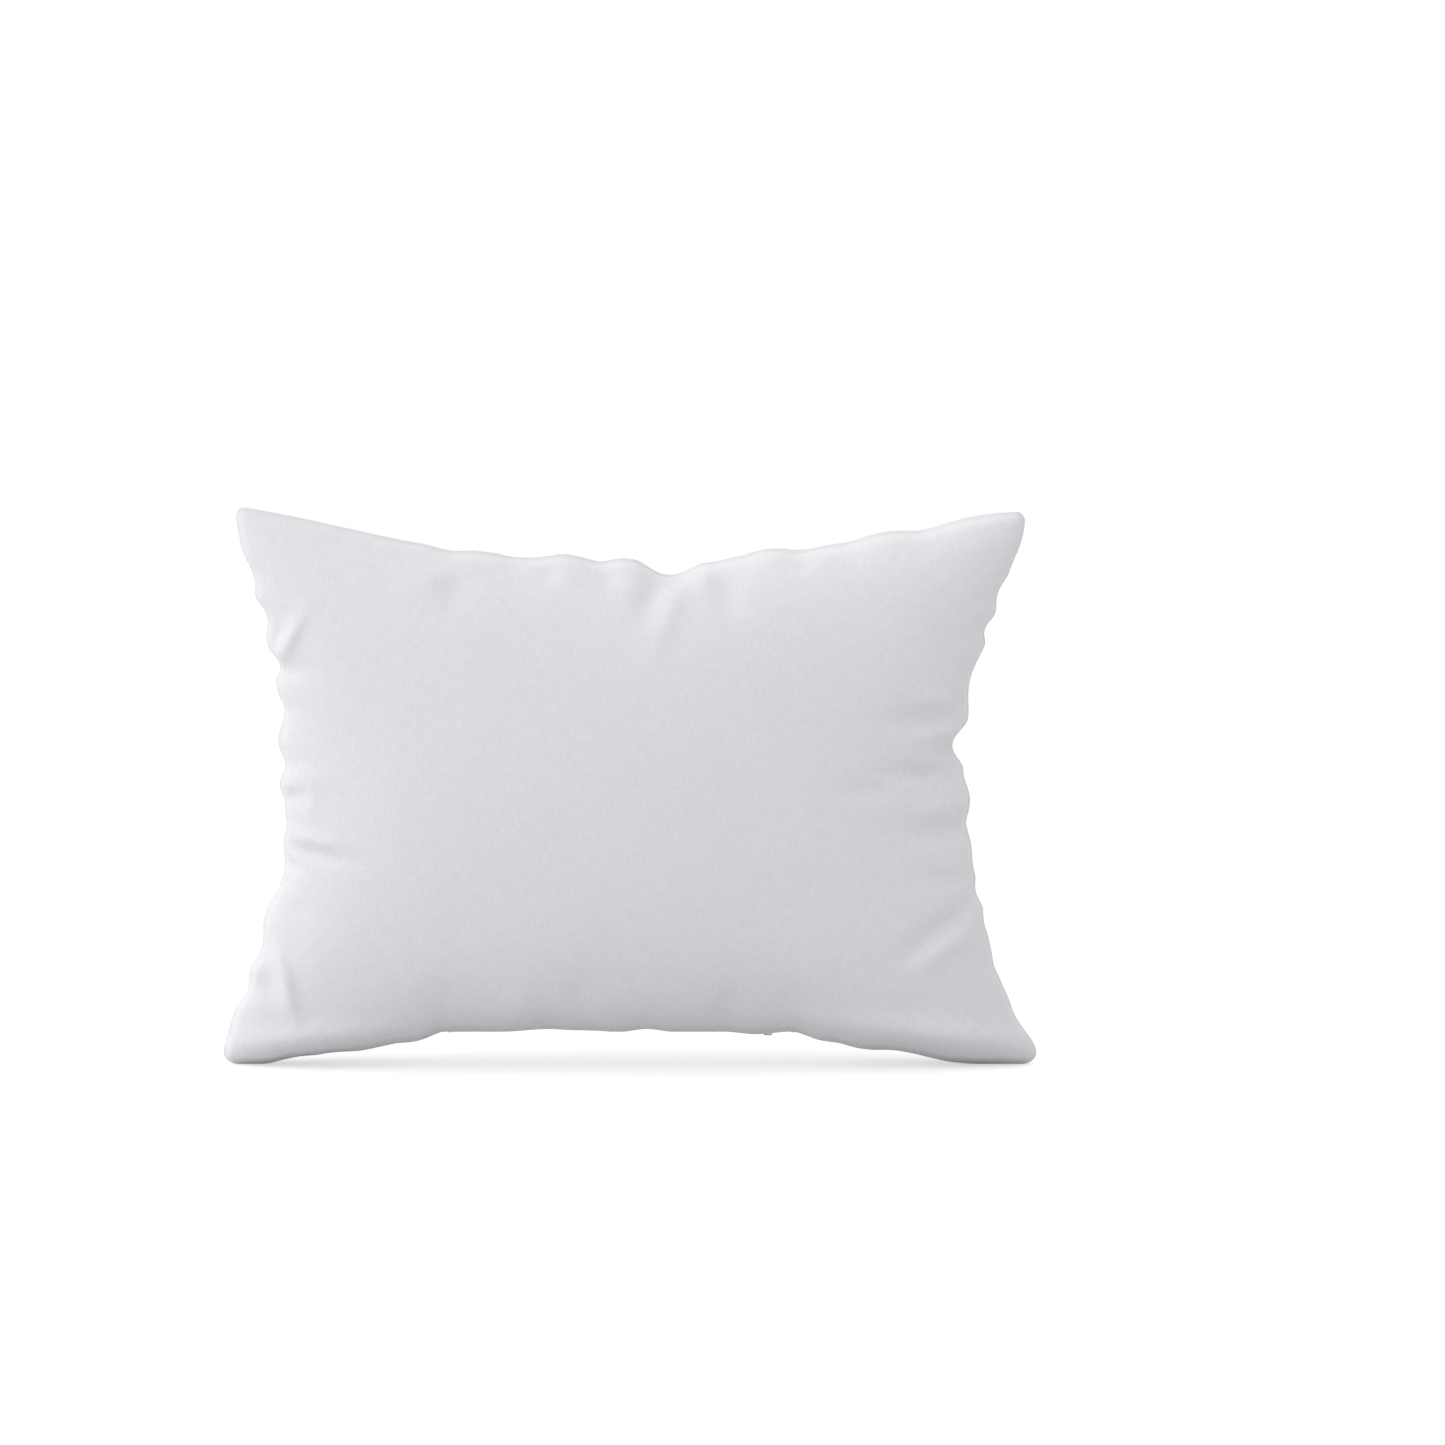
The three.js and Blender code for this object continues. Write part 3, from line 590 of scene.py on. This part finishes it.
outline = midPlane(u, v)
zipAlong = zipShare(u, v)
skins = {-1: foldedSkin(refined(frontGrid), frontFolds, -1),
         1: foldedSkin(refined(backGrid), backFolds, 1)}
for name, side, node in [("coverFront", -1, "cover_front_panel"), ("coverBack", 1, "cover_back_panel")]:
    panel = buildPanel(name, side, outline, skins[side], (plainEdge, zipEdge), zipAlong, cover["cloth"],
                       percaleCloth)
    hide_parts(node)
print("cover panels made")


# Inner pillow: lining panels and fibre filling, kept inside the cover
inner = {
    "inset": 26, "clear": 2.6, "crown": 92, "cloth": 0.8, "edgeDepth": 1.85, "edgeInset": 1.6,
    "puckers": 46, "puckerDepth": 0.05, "puckerFade": 6, "aspect": 1.5,
    "fillInset": 44, "fillClear": 2.4, "fillCrown": 88, "fillEdge": 1.6,
    "tuft": 1.4, "tuftSize": 21, "tuftTurns": (2.1, 1.7), "tuftSways": (3, 2), "swaySize": 37,
}
liningEdge = [(1.0, 1.9), (0.3, 1.6), (0, 0.9), (0.4, 0.15), (2, 0.15), (5, 0.15), (8, 0.15),
              (8, 0.95), (5, 0.95), (3.2, 0.95)]


def sampled(grid, atU, atV):
    # Reads a grid between its points
    i = np.clip((atU + 1) / 2 * (grid.shape[0] - 1), 0, grid.shape[0] - 1.001)
    j = np.clip((atV + 1) / 2 * (grid.shape[1] - 1), 0, grid.shape[1] - 1.001)
    low, left = np.floor(i).astype(int), np.floor(j).astype(int)
    a, b = i - low, j - left
    return (grid[low, left] * (1 - a) * (1 - b) + grid[low + 1, left] * a * (1 - b)
            + grid[low, left + 1] * (1 - a) * b + grid[low + 1, left + 1] * a * b)


def insideOf(depth, inset, clear, outerInset):
    # How far out a layer may stand, with the layer round it read at the same places
    extra = inset - outerInset
    shrunkU = coarseU * (1 - extra / (cover["halfFoot"] - outerInset))
    shrunkV = coarseV * (1 - extra / (cover["height"] / 2 - outerInset))
    return sampled(depth, shrunkU, shrunkV) - clear


liningCloth = makeLining()
liningDepth = {}
along = np.where(np.abs(coarseU) > np.abs(coarseV), coarseV, coarseU * inner["aspect"])
nearSeam = np.maximum(np.abs(coarseU), np.abs(coarseV)) ** inner["puckerFade"]
pucker = 1 - inner["puckerDepth"] * (1 + np.cos(along * inner["puckers"])) * nearSeam
least = inner["edgeDepth"]
liningOutline = midPlane(coarseU, coarseV) - inner["inset"] * np.stack([coarseU, coarseV], -1)
for name, side, node in [("liningFront", -1, "lining_front_panel"), ("liningBack", 1, "lining_back_panel")]:
    depth = least + (inner["crown"] - least) * fullness(coarseU, coarseV) * pucker
    roof = insideOf(np.abs(skins[side][..., 1]), inner["inset"], inner["clear"], 0)
    depth = liningDepth[side] = np.maximum(np.minimum(depth, roof), least)
    flat = liningOutline - inner["edgeInset"] * np.stack([coarseU, coarseV], -1)
    skin = np.stack([flat[..., 0], side * depth, flat[..., 1]], -1)
    panel = buildPanel(name, side, liningOutline, skin, (liningEdge, liningEdge), 0 * coarseU,
                       inner["cloth"], liningCloth)
    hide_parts(node)


def buildFilling():
    flat = midPlane(coarseU, coarseV) - inner["fillInset"] * np.stack([coarseU, coarseV], -1)
    x, z = flat[..., 0], flat[..., 1]
    (turnX, turnZ), (swayX, swayZ) = inner["tuftTurns"], inner["tuftSways"]
    wavesAcross = np.sin(x / inner["tuftSize"] * turnX + swayX * np.sin(z / inner["tuftSize"]))
    wavesUp = np.cos(z / inner["tuftSize"] * turnZ + swayZ * np.sin(x / inner["swaySize"]))
    tuft = inner["tuft"] * (1 + wavesAcross * wavesUp) / 2
    full = fullness(coarseU, coarseV)
    least = inner["fillEdge"]
    grids = []
    for side in (-1, 1):
        roof = insideOf(liningDepth[side], inner["fillInset"], inner["fillClear"], inner["inset"])
        depth = np.minimum(least + inner["fillCrown"] * full, roof) - tuft * full
        grids.append(np.stack([x, side * np.maximum(depth, least), z], -1))
    index = np.arange(coarseU.size).reshape(coarseU.shape)
    loop = borderLoop(index)
    seam = np.stack([loop, loop + coarseU.size, np.roll(loop, -1) + coarseU.size, np.roll(loop, -1)], -1)
    faces = np.concatenate([gridFaces(index), gridFaces(index + coarseU.size, True), seam])
    points = np.concatenate([grid.reshape(-1, 3) for grid in grids]) * mm
    filling = linkMesh("fibreFilling", points, faces, makeFibre())
    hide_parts("fibre_filling")


buildFilling()
print("inner pillow made")


# Stitches and zip coils are grown by Geometry Nodes
class NodeTree:
    def __init__(self, name, *inputs):
        self.tree = bpy.data.node_groups.new(name, "GeometryNodeTree")
        self.tree.interface.new_socket("Geometry", in_out="INPUT", socket_type="NodeSocketGeometry")
        self.tree.interface.new_socket("Geometry", in_out="OUTPUT", socket_type="NodeSocketGeometry")
        for label, kind in inputs:
            self.tree.interface.new_socket(label, in_out="INPUT", socket_type=kind)
        self.start = self.tree.nodes.new("NodeGroupInput")
        self.end = self.tree.nodes.new("NodeGroupOutput")

    def given(self, label):
        return self.start.outputs[label]

    def add(self, kind, settings=None, out=0, **inputs):
        node = self.tree.nodes.new(kind)
        for key, value in (settings or {}).items():
            setattr(node, key, value)
        for key, value in inputs.items():
            socket = node.inputs[key.replace("_", " ")]
            if isinstance(value, list):
                for link in value:
                    self.tree.links.new(link, socket)
            elif isinstance(value, bpy.types.NodeSocket):
                self.tree.links.new(value, socket)
            else:
                socket.default_value = value
        return node.outputs[out]

    def join(self, x, y, z):
        return self.add("ShaderNodeCombineXYZ", X=x, Y=y, Z=z)

    def scaled(self, label, by):
        product = self.add("ShaderNodeMath", {"operation": "MULTIPLY"}, Value=self.given(label))
        product.node.inputs[1].default_value = by
        return product

    def finish(self, geometry):
        real = self.add("GeometryNodeRealizeInstances", Geometry=geometry)
        smooth = self.add("GeometryNodeSetShadeSmooth", Geometry=real)
        done = self.add("GeometryNodeSetMaterial", Geometry=smooth, Material=self.given("Material"))
        self.tree.links.new(done, self.end.inputs[0])
        return self.tree


number, finishSocket = "NodeSocketFloat", "NodeSocketMaterial"
facets = {"loop": 8, "loopThread": 4, "stitch": 4, "stitchThread": 6, "coilTurn": 10, "coilWire": 5}


def overlockTree():
    # Slanting loops round the edge of the cloth and a straight run of thread on either side
    t = NodeTree("overlock", ("Pitch", number), ("Reach", number), ("Half Width", number),
                 ("Slant", number), ("Thread", number), ("Material", finishSocket))
    path = t.add("GeometryNodeMeshToCurve", Mesh=t.given("Geometry"))
    points = t.add("GeometryNodeResampleCurve", {"mode": "LENGTH"}, Curve=path, Length=t.given("Pitch"))
    arc = t.add("GeometryNodeCurveArc", {"mode": "RADIUS"},
                Resolution=facets["loop"], Radius=1.0, Start_Angle=0.0, Sweep_Angle=math.pi)
    upright = t.add("GeometryNodeTransform", Geometry=arc, Rotation=(math.pi / 2, 0, math.pi / 2))
    size = t.join(1.0, t.given("Half Width"), t.given("Reach"))
    sized = t.add("GeometryNodeTransform", Geometry=upright, Scale=size)
    leaning = t.add("GeometryNodeTransform", Geometry=sized, Rotation=t.join(0.0, 0.0, t.given("Slant")))
    profile = t.add("GeometryNodeCurvePrimitiveCircle",
                    Resolution=facets["loopThread"], Radius=t.given("Thread"))
    loop = t.add("GeometryNodeCurveToMesh", Curve=leaning, Profile_Curve=profile, Fill_Caps=True)
    tangent = t.add("GeometryNodeInputTangent")
    turn = t.add("FunctionNodeAlignRotationToVector", {"axis": "X", "pivot_axis": "Y"},
                 Vector=tangent)
    loops = t.add("GeometryNodeInstanceOnPoints", Points=points, Instance=loop, Rotation=turn)
    runs = []
    for side in (-1, 1):
        offset = t.join(0.0, t.scaled("Half Width", side), 0.0)
        moved = t.add("GeometryNodeTransform", Geometry=path, Translation=offset)
        runs.append(t.add("GeometryNodeCurveToMesh", Curve=moved, Profile_Curve=profile, Fill_Caps=True))
    return t.finish(t.add("GeometryNodeJoinGeometry", Geometry=[loops, *runs]))


def lockstitchTree():
    # Short straight stitches in a row
    t = NodeTree("lockstitch", ("Pitch", number), ("Length", number), ("Thread", number),
                 ("Material", finishSocket))
    path = t.add("GeometryNodeMeshToCurve", Mesh=t.given("Geometry"))
    points = t.add("GeometryNodeResampleCurve", {"mode": "LENGTH"}, Curve=path, Length=t.given("Pitch"))
    start, end = (t.join(t.scaled("Length", by), 0.0, 0.0) for by in (-0.5, 0.5))
    stitch = t.add("GeometryNodeCurvePrimitiveLine", {"mode": "POINTS"}, Start=start, End=end)
    fine = t.add("GeometryNodeResampleCurve", {"mode": "COUNT"}, Curve=stitch, Count=facets["stitch"])
    profile = t.add("GeometryNodeCurvePrimitiveCircle",
                    Resolution=facets["stitchThread"], Radius=t.given("Thread"))
    body = t.add("GeometryNodeCurveToMesh", Curve=fine, Profile_Curve=profile, Fill_Caps=True)
    tangent = t.add("GeometryNodeInputTangent")
    turn = t.add("FunctionNodeAlignRotationToVector", {"axis": "X", "pivot_axis": "AUTO"},
                 Vector=tangent)
    return t.finish(t.add("GeometryNodeInstanceOnPoints", Points=points, Instance=body, Rotation=turn))


def coilTree():
    # An oval spiral of wire along X
    t = NodeTree("coil", ("Turns", number), ("Run", number), ("Half Width", number),
                 ("Half Height", number), ("Wire", number), ("Material", finishSocket))
    spiral = t.add("GeometryNodeCurveSpiral", Resolution=facets["coilTurn"], Rotations=t.given("Turns"),
                   Start_Radius=1.0, End_Radius=1.0, Height=t.given("Run"))
    laid = t.add("GeometryNodeTransform", Geometry=spiral, Rotation=(0, math.pi / 2, 0))
    size = t.join(1.0, t.given("Half Width"), t.given("Half Height"))
    oval = t.add("GeometryNodeTransform", Geometry=laid, Scale=size)
    profile = t.add("GeometryNodeCurvePrimitiveCircle",
                    Resolution=facets["coilWire"], Radius=t.given("Wire"))
    return t.finish(t.add("GeometryNodeCurveToMesh", Curve=oval, Profile_Curve=profile, Fill_Caps=True))


def grown(name, tree, runs, move, values, material, node):
    # Runs a node tree on one or more open paths and keeps the result as a plain mesh
    path = [point for run in runs for point in run]
    ends = {sum(len(run) for run in runs[:k + 1]) - 1 for k in range(len(runs))}
    links = [(i, i + 1) for i in range(len(path)) if i not in ends]
    mesh = bpy.data.meshes.new(name + "Path")
    mesh.from_pydata([tuple(float(c) * mm for c in p) for p in path], links, [])
    obj = bpy.data.objects.new(name, mesh)
    scene.collection.objects.link(obj)
    modifier = obj.modifiers.new("nodes", "NODES")
    modifier.node_group = tree
    given = {**values, "Material": material}
    for item in tree.interface.items_tree:
        if item.item_type == "SOCKET" and item.in_out == "INPUT" and item.name in given:
            modifier[item.identifier] = given[item.name]
    bpy.context.view_layer.update()
    grownObj = obj.evaluated_get(bpy.context.evaluated_depsgraph_get())
    plain = bpy.data.meshes.new_from_object(grownObj)
    obj.modifiers.clear()
    obj.data = plain
    plain.transform(Matrix.Translation([c * mm for c in move]))
    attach(obj, "pillow")
    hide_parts(node)


# Overlocked seams of cover and lining
stitching = {
    "pitch": 2.6, "reach": 5.0, "halfWidth": 1.6, "slant": 0.35, "thread": 0.17, "rowDepth": 7.2,
    "liningRowDepth": 5.4, "liningReach": 4.6, "cornerShare": 0.955, "sideStart": 0.935,
    "zipClear": 12, "pathPoints": 160,
}
thread = makeThread()
overlock = overlockTree()
loopValues = {
    "Pitch": stitching["pitch"] * mm, "Reach": stitching["reach"] * mm,
    "Half Width": stitching["halfWidth"] * mm, "Slant": stitching["slant"],
    "Thread": stitching["thread"] * mm,
}


def seamPath(edge, depth, fromShare, toShare, inset=0):
    # A row of points along one edge, the depth inside the outline; -1 and 1 are the edge's ends
    s = np.linspace(fromShare, toShare, stitching["pathPoints"])
    one = np.ones_like(s)
    edgeU, edgeV = {"bottom": (s, -one), "right": (one, s), "top": (-s, one), "left": (-one, -s)}[edge]
    flat = midPlane(edgeU, edgeV) - (depth + inset) * np.stack([edgeU, edgeV], -1)
    return [(x, 0, z) for x, z in flat]


ends, start = stitching["cornerShare"], stitching["sideStart"]
zipLow = (cover["zipFrom"] - stitching["zipClear"]) / cover["halfFoot"]
zipHigh = (cover["zipTo"] + stitching["zipClear"]) / cover["halfFoot"]
for name, node, edge, fromShare, toShare in [
        ("seamStitchingTop", "seam_stitching_top", "top", -ends, ends),
        ("seamStitchingLeft", "seam_stitching_left", "left", -start, ends),
        ("seamStitchingRight", "seam_stitching_right", "right", -start, ends),
        ("seamStitchingBottomLeft", "seam_stitching_bottom_left", "bottom", -ends, zipLow),
        ("seamStitchingBottomRight", "seam_stitching_bottom_right", "bottom", zipHigh, ends)]:
    path = seamPath(edge, stitching["rowDepth"], fromShare, toShare)
    grown(name, overlock, [path], (0, 0, 0), loopValues, thread, node)
liningRuns = [seamPath(edge, stitching["liningRowDepth"], -ends, ends, inner["inset"])
              for edge in ("bottom", "right", "top", "left")]
liningValues = {**loopValues, "Reach": stitching["liningReach"] * mm}
grown("liningStitching", overlock, liningRuns, (0, 0, 0), liningValues, thread,
      "lining_seam_stitching")
print("seam stitches made")


# Zip: coils, stitching, tacks, stops, slider, pull and tapes
zipParts = {
    "coilPitch": 1.3, "wire": 0.27, "overlap": 0.35,
    "lockPitch": 2.8, "lockLength": 2.2, "lockThread": 0.2, "lockInset": 1.2, "lockPoints": 40,
    "tackPitch": 0.42, "tackReach": 0.35, "tackHalfWidth": 2.9, "tackSlant": 0.05, "tackThread": 0.19,
    "tackDrop": 0.1, "tackPoints": 8,
    "sliderBevel": 0.18, "pullBevel": 0.16, "stopBevel": 0.3,
}
coilFinish, metalFinish, tapeFinish = makeCoil(), makeMetal(), makeTape()
coils, lockstitch = coilTree(), lockstitchTree()
lockValues = {"Pitch": zipParts["lockPitch"] * mm, "Length": zipParts["lockLength"] * mm,
              "Thread": zipParts["lockThread"] * mm}
tackValues = {"Pitch": zipParts["tackPitch"] * mm, "Reach": zipParts["tackReach"] * mm,
              "Half Width": zipParts["tackHalfWidth"] * mm, "Slant": zipParts["tackSlant"],
              "Thread": zipParts["tackThread"] * mm}


def nodeBox(node):
    # Low and high corner of a CAD node, in millimetres
    return tuple(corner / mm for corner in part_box(node))


for name, side in [("front", -1), ("back", 1)]:
    low, high = nodeBox("zip_coil_" + name)
    run = high.x - low.x
    halfWidth = (high.y - low.y + zipParts["overlap"]) / 2 - zipParts["wire"]
    middle = (low.y + high.y - side * zipParts["overlap"]) / 2
    coilValues = {
        "Turns": run / zipParts["coilPitch"], "Run": run * mm, "Half Width": halfWidth * mm,
        "Half Height": ((high.z - low.z) / 2 - zipParts["wire"]) * mm, "Wire": zipParts["wire"] * mm,
    }
    grown("zipCoil" + name.title(), coils, [[(0, 0, 0)]], (low.x, middle, (low.z + high.z) / 2),
          coilValues, coilFinish, "zip_coil_" + name)
    low, high = nodeBox("zip_stitching_" + name)
    xs = np.linspace(low.x + zipParts["lockInset"], high.x - zipParts["lockInset"], zipParts["lockPoints"])
    row = [(x, (low.y + high.y) / 2, (low.z + high.z) / 2) for x in xs]
    grown("zipStitching" + name.title(), lockstitch, [row], (0, 0, 0), lockValues, thread,
          "zip_stitching_" + name)
for name in ("left", "right"):
    low, high = nodeBox("bar_tack_" + name)
    xs = np.linspace(high.x, low.x, zipParts["tackPoints"])
    row = [(x, 0, high.z - zipParts["tackDrop"]) for x in xs]
    grown("barTack" + name.title(), overlock, [row], (0, 0, 0), tackValues, thread,
          "bar_tack_" + name)


def tubeFaces(count, rows):
    # Quads round a closed section repeated in rows, with both ends capped
    faces = []
    for start in range(0, (rows - 1) * count, count):
        for k in range(count):
            a, b = start + k, start + (k + 1) % count
            faces.append((a, b, b + count, a + count))
    for start, flip in ((0, False), ((rows - 1) * count, True)):
        for k in range(count // 2 - 1):
            cap = (start + k, start + count - 1 - k, start + count - 2 - k, start + k + 1)
            faces.append(cap[::-1] if flip else cap)
    return faces


roundOff = {"merge": 0.002, "flat": 2, "sharp": 40, "segments": 2, "profile": 0.5}  # mm, degrees, degrees


def softened(name, node, width, material, body):
    # A CAD node's shape with its edges rounded
    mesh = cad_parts[node].data.copy()
    mesh.name = name
    work = bmesh.new()
    work.from_mesh(mesh)
    bmesh.ops.remove_doubles(work, verts=work.verts, dist=roundOff["merge"] * mm)
    bmesh.ops.dissolve_limit(work, angle_limit=math.radians(roundOff["flat"]),
                             verts=work.verts, edges=work.edges)
    steep = math.radians(roundOff["sharp"])
    sharp = [edge for edge in work.edges
             if len(edge.link_faces) == 2 and edge.calc_face_angle(0) > steep]
    bmesh.ops.bevel(work, geom=sharp, offset=width * mm, segments=roundOff["segments"],
                    affect="EDGES", profile=roundOff["profile"], clamp_overlap=True)
    bmesh.ops.triangulate(work, faces=[f for f in work.faces if len(f.verts) > 4])
    bmesh.ops.recalc_face_normals(work, faces=work.faces)
    work.to_mesh(mesh)
    work.free()
    mesh.materials.clear()
    mesh.materials.append(material)
    mesh.shade_smooth()
    obj = bpy.data.objects.new(name, mesh)
    scene.collection.objects.link(obj)
    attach(obj, body)
    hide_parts(node)


softened("zipSlider", "zip_slider", zipParts["sliderBevel"], metalFinish, "slider")
softened("zipPull", "zip_pull", zipParts["pullBevel"], metalFinish, "pull")
for name, node in [("zipTopStopFront", "zip_top_stop_front"), ("zipTopStopBack", "zip_top_stop_back"),
                   ("zipBottomStop", "zip_bottom_stop")]:
    softened(name, node, zipParts["stopBevel"], coilFinish, "pillow")


# Half the ribbon's section is (height from one edge, half thickness)
tape = {
    "body": 0.3, "bead": 0.4, "edge": 0.18, "press": 0.9, "steps": 150, "ripple": 0.08, "rippleLength": 11,
    "coilCord": (0.25, 0.9, 1.4), "selvedgeCord": (1.6, 1.1, 0.3),
}


def buildTape(name, side):
    # Woven ribbon with a corded edge by the coil and a selvedge cord on the other edge
    low, high = nodeBox("zip_tape_" + name)
    middle, height = (low.y + high.y) / 2, high.z - low.z
    rise, crest, fall = tape["coilCord"]
    climb, top, drop = (height - inset for inset in tape["selvedgeCord"])
    half = [(0.0, tape["edge"]), (rise, tape["bead"]), (crest, tape["bead"]), (fall, tape["body"]),
            (climb, tape["body"]), (top, tape["bead"]), (drop, tape["bead"]), (height, tape["edge"])]
    section = [(-y, z) for z, y in half] + [(y, z) for z, y in half[::-1]]
    xs = np.linspace(low.x, high.x, tape["steps"])
    points = []
    for x in xs:
        for y, z in section:
            sway = tape["ripple"] * (z / height) ** 2 * math.sin(x / tape["rippleLength"])
            points.append((x, middle + y * tape["press"] + side * sway, low.z + z))
    count = len(section)
    made = linkMesh("zipTape" + name.title(), np.array(points) * mm, tubeFaces(count, len(xs)), tapeFinish)
    work = bmesh.new()
    work.from_mesh(made.data)
    bmesh.ops.recalc_face_normals(work, faces=work.faces)
    work.to_mesh(made.data)
    work.free()
    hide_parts("zip_tape_" + name)


buildTape("front", -1)
buildTape("back", 1)
print("zip made")


# Care label: a satin loop folded at its tip, caught in the left seam
label = {"layer": 0.2, "press": 0.98, "rows": 24, "turns": 10}


def buildLabel():
    low, high = nodeBox("care_label")
    outer = (high.y - low.y) / 2
    middle = (high.y + low.y) / 2
    tip = high.x - outer
    bend = [math.pi * (k / label["turns"] - 0.5) for k in range(label["turns"] + 1)]

    def fold(radius, angles):
        return [(tip + radius * math.cos(a), radius * math.sin(a)) for a in angles]

    within = outer - label["layer"]
    section = [(low.x, -outer), *fold(outer, bend), (low.x, outer),
               (low.x, within), *fold(within, bend[::-1]), (low.x, -within)]
    count = len(section)
    points = []
    for row in range(label["rows"] + 1):
        z = low.z + (high.z - low.z) * row / label["rows"]
        points.extend((x, middle + y * label["press"], z) for x, y in section)
    obj = linkMesh("careLabel", np.array(points) * mm, tubeFaces(count, label["rows"] + 1), makeLabel())
    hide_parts("care_label")


buildLabel()
print("label made")


# Studio: pale floor, a soft dome that leans to the left, and one wide key light from the left
studio = {
    "lens": 100, "distance": 3.532, "elevation": 5.5, "aim": (0, 0, 0.2445), "shift": (0.064, 0.046),
    "dome": 0.89, "domeLean": (-0.25, 0.0, 0.08), "underFrom": 0.5, "underFall": 0.9,
    "keyPower": 0.85, "keyFrom": (-0.95, -0.12, 0.3), "keySpread": 50,
    "floorTone": 0.72, "floorMottle": 0.01, "mottleScale": 0.6, "floorRoughness": 0.95,
    "floorGlow": 0.45, "floorReach": 12,
}


def makeStudio():
    floorShader = Shader(bpy.data.materials.new("studio_floor"))
    tone = floorShader.noise(floorShader.place("object"), studio["mottleScale"], 1)
    light, dark = studio["floorTone"], studio["floorTone"] - studio["floorMottle"]
    pale = floorShader.ramp(tone, (0, (light,) * 3), (1, (dark,) * 3))
    floorMaterial = floorShader.finish(pale, studio["floorRoughness"],
                                       Specular_IOR_Level=0.0, Emission_Color=(1, 1, 1, 1))
    seen = floorShader.add("ShaderNodeLightPath", out="Is Camera Ray")
    glow = floorShader.tree.nodes["Principled BSDF"].inputs["Emission Strength"]
    floorShader.feed(glow, seen * studio["floorGlow"])
    far = studio["floorReach"]
    corners = [(-far, -far, 0), (far, -far, 0), (far, far, 0), (-far, far, 0)]
    floor = linkMesh("floor", corners, [(0, 1, 2, 3)], floorMaterial, None, False)
    world = bpy.data.worlds.new("studio")
    scene.world = world
    world.use_nodes = True
    dome = Shader(world)
    direction = dome.add("ShaderNodeTexCoord", out="Generated")
    dot, atLeast = {"operation": "DOT_PRODUCT"}, {"operation": "MAXIMUM"}
    lean = dome.add("ShaderNodeVectorMath", dot, direction, studio["domeLean"], out="Value")
    toCamera = dome.add("ShaderNodeLightPath", out="Is Camera Ray")
    down = dome.add("ShaderNodeVectorMath", dot, direction, (0, 0, -1), out="Value")
    under = dome.add("ShaderNodeMath", atLeast, down - studio["underFrom"], 0)
    light = dome.add("ShaderNodeMath", atLeast, lean + studio["dome"] - under * studio["underFall"], 0)
    strength = toCamera + (1 - toCamera) * light
    dome.feed(dome.tree.nodes["Background"].inputs["Color"], (1, 1, 1, 1))
    dome.feed(dome.tree.nodes["Background"].inputs["Strength"], strength)
    key = bpy.data.objects.new("keyLight", bpy.data.lights.new("keyLight", "SUN"))
    key.data.energy = studio["keyPower"]
    key.data.angle = math.radians(studio["keySpread"])
    key.rotation_euler = Vector(studio["keyFrom"]).to_track_quat("Z", "Y").to_euler()
    scene.collection.objects.link(key)
    lens = bpy.data.cameras.new("camera")
    lens.lens = studio["lens"]
    lens.shift_x, lens.shift_y = studio["shift"]
    camera = bpy.data.objects.new("camera", lens)
    scene.collection.objects.link(camera)
    tilt = math.radians(studio["elevation"])
    aim = Vector(studio["aim"])
    camera.location = aim + studio["distance"] * Vector((0, -math.cos(tilt), math.sin(tilt)))
    camera.rotation_euler = (aim - camera.location).to_track_quat("-Z", "Y").to_euler()
    scene.camera = camera
    scene.view_settings.view_transform = "Standard"


makeStudio()
print("studio made")
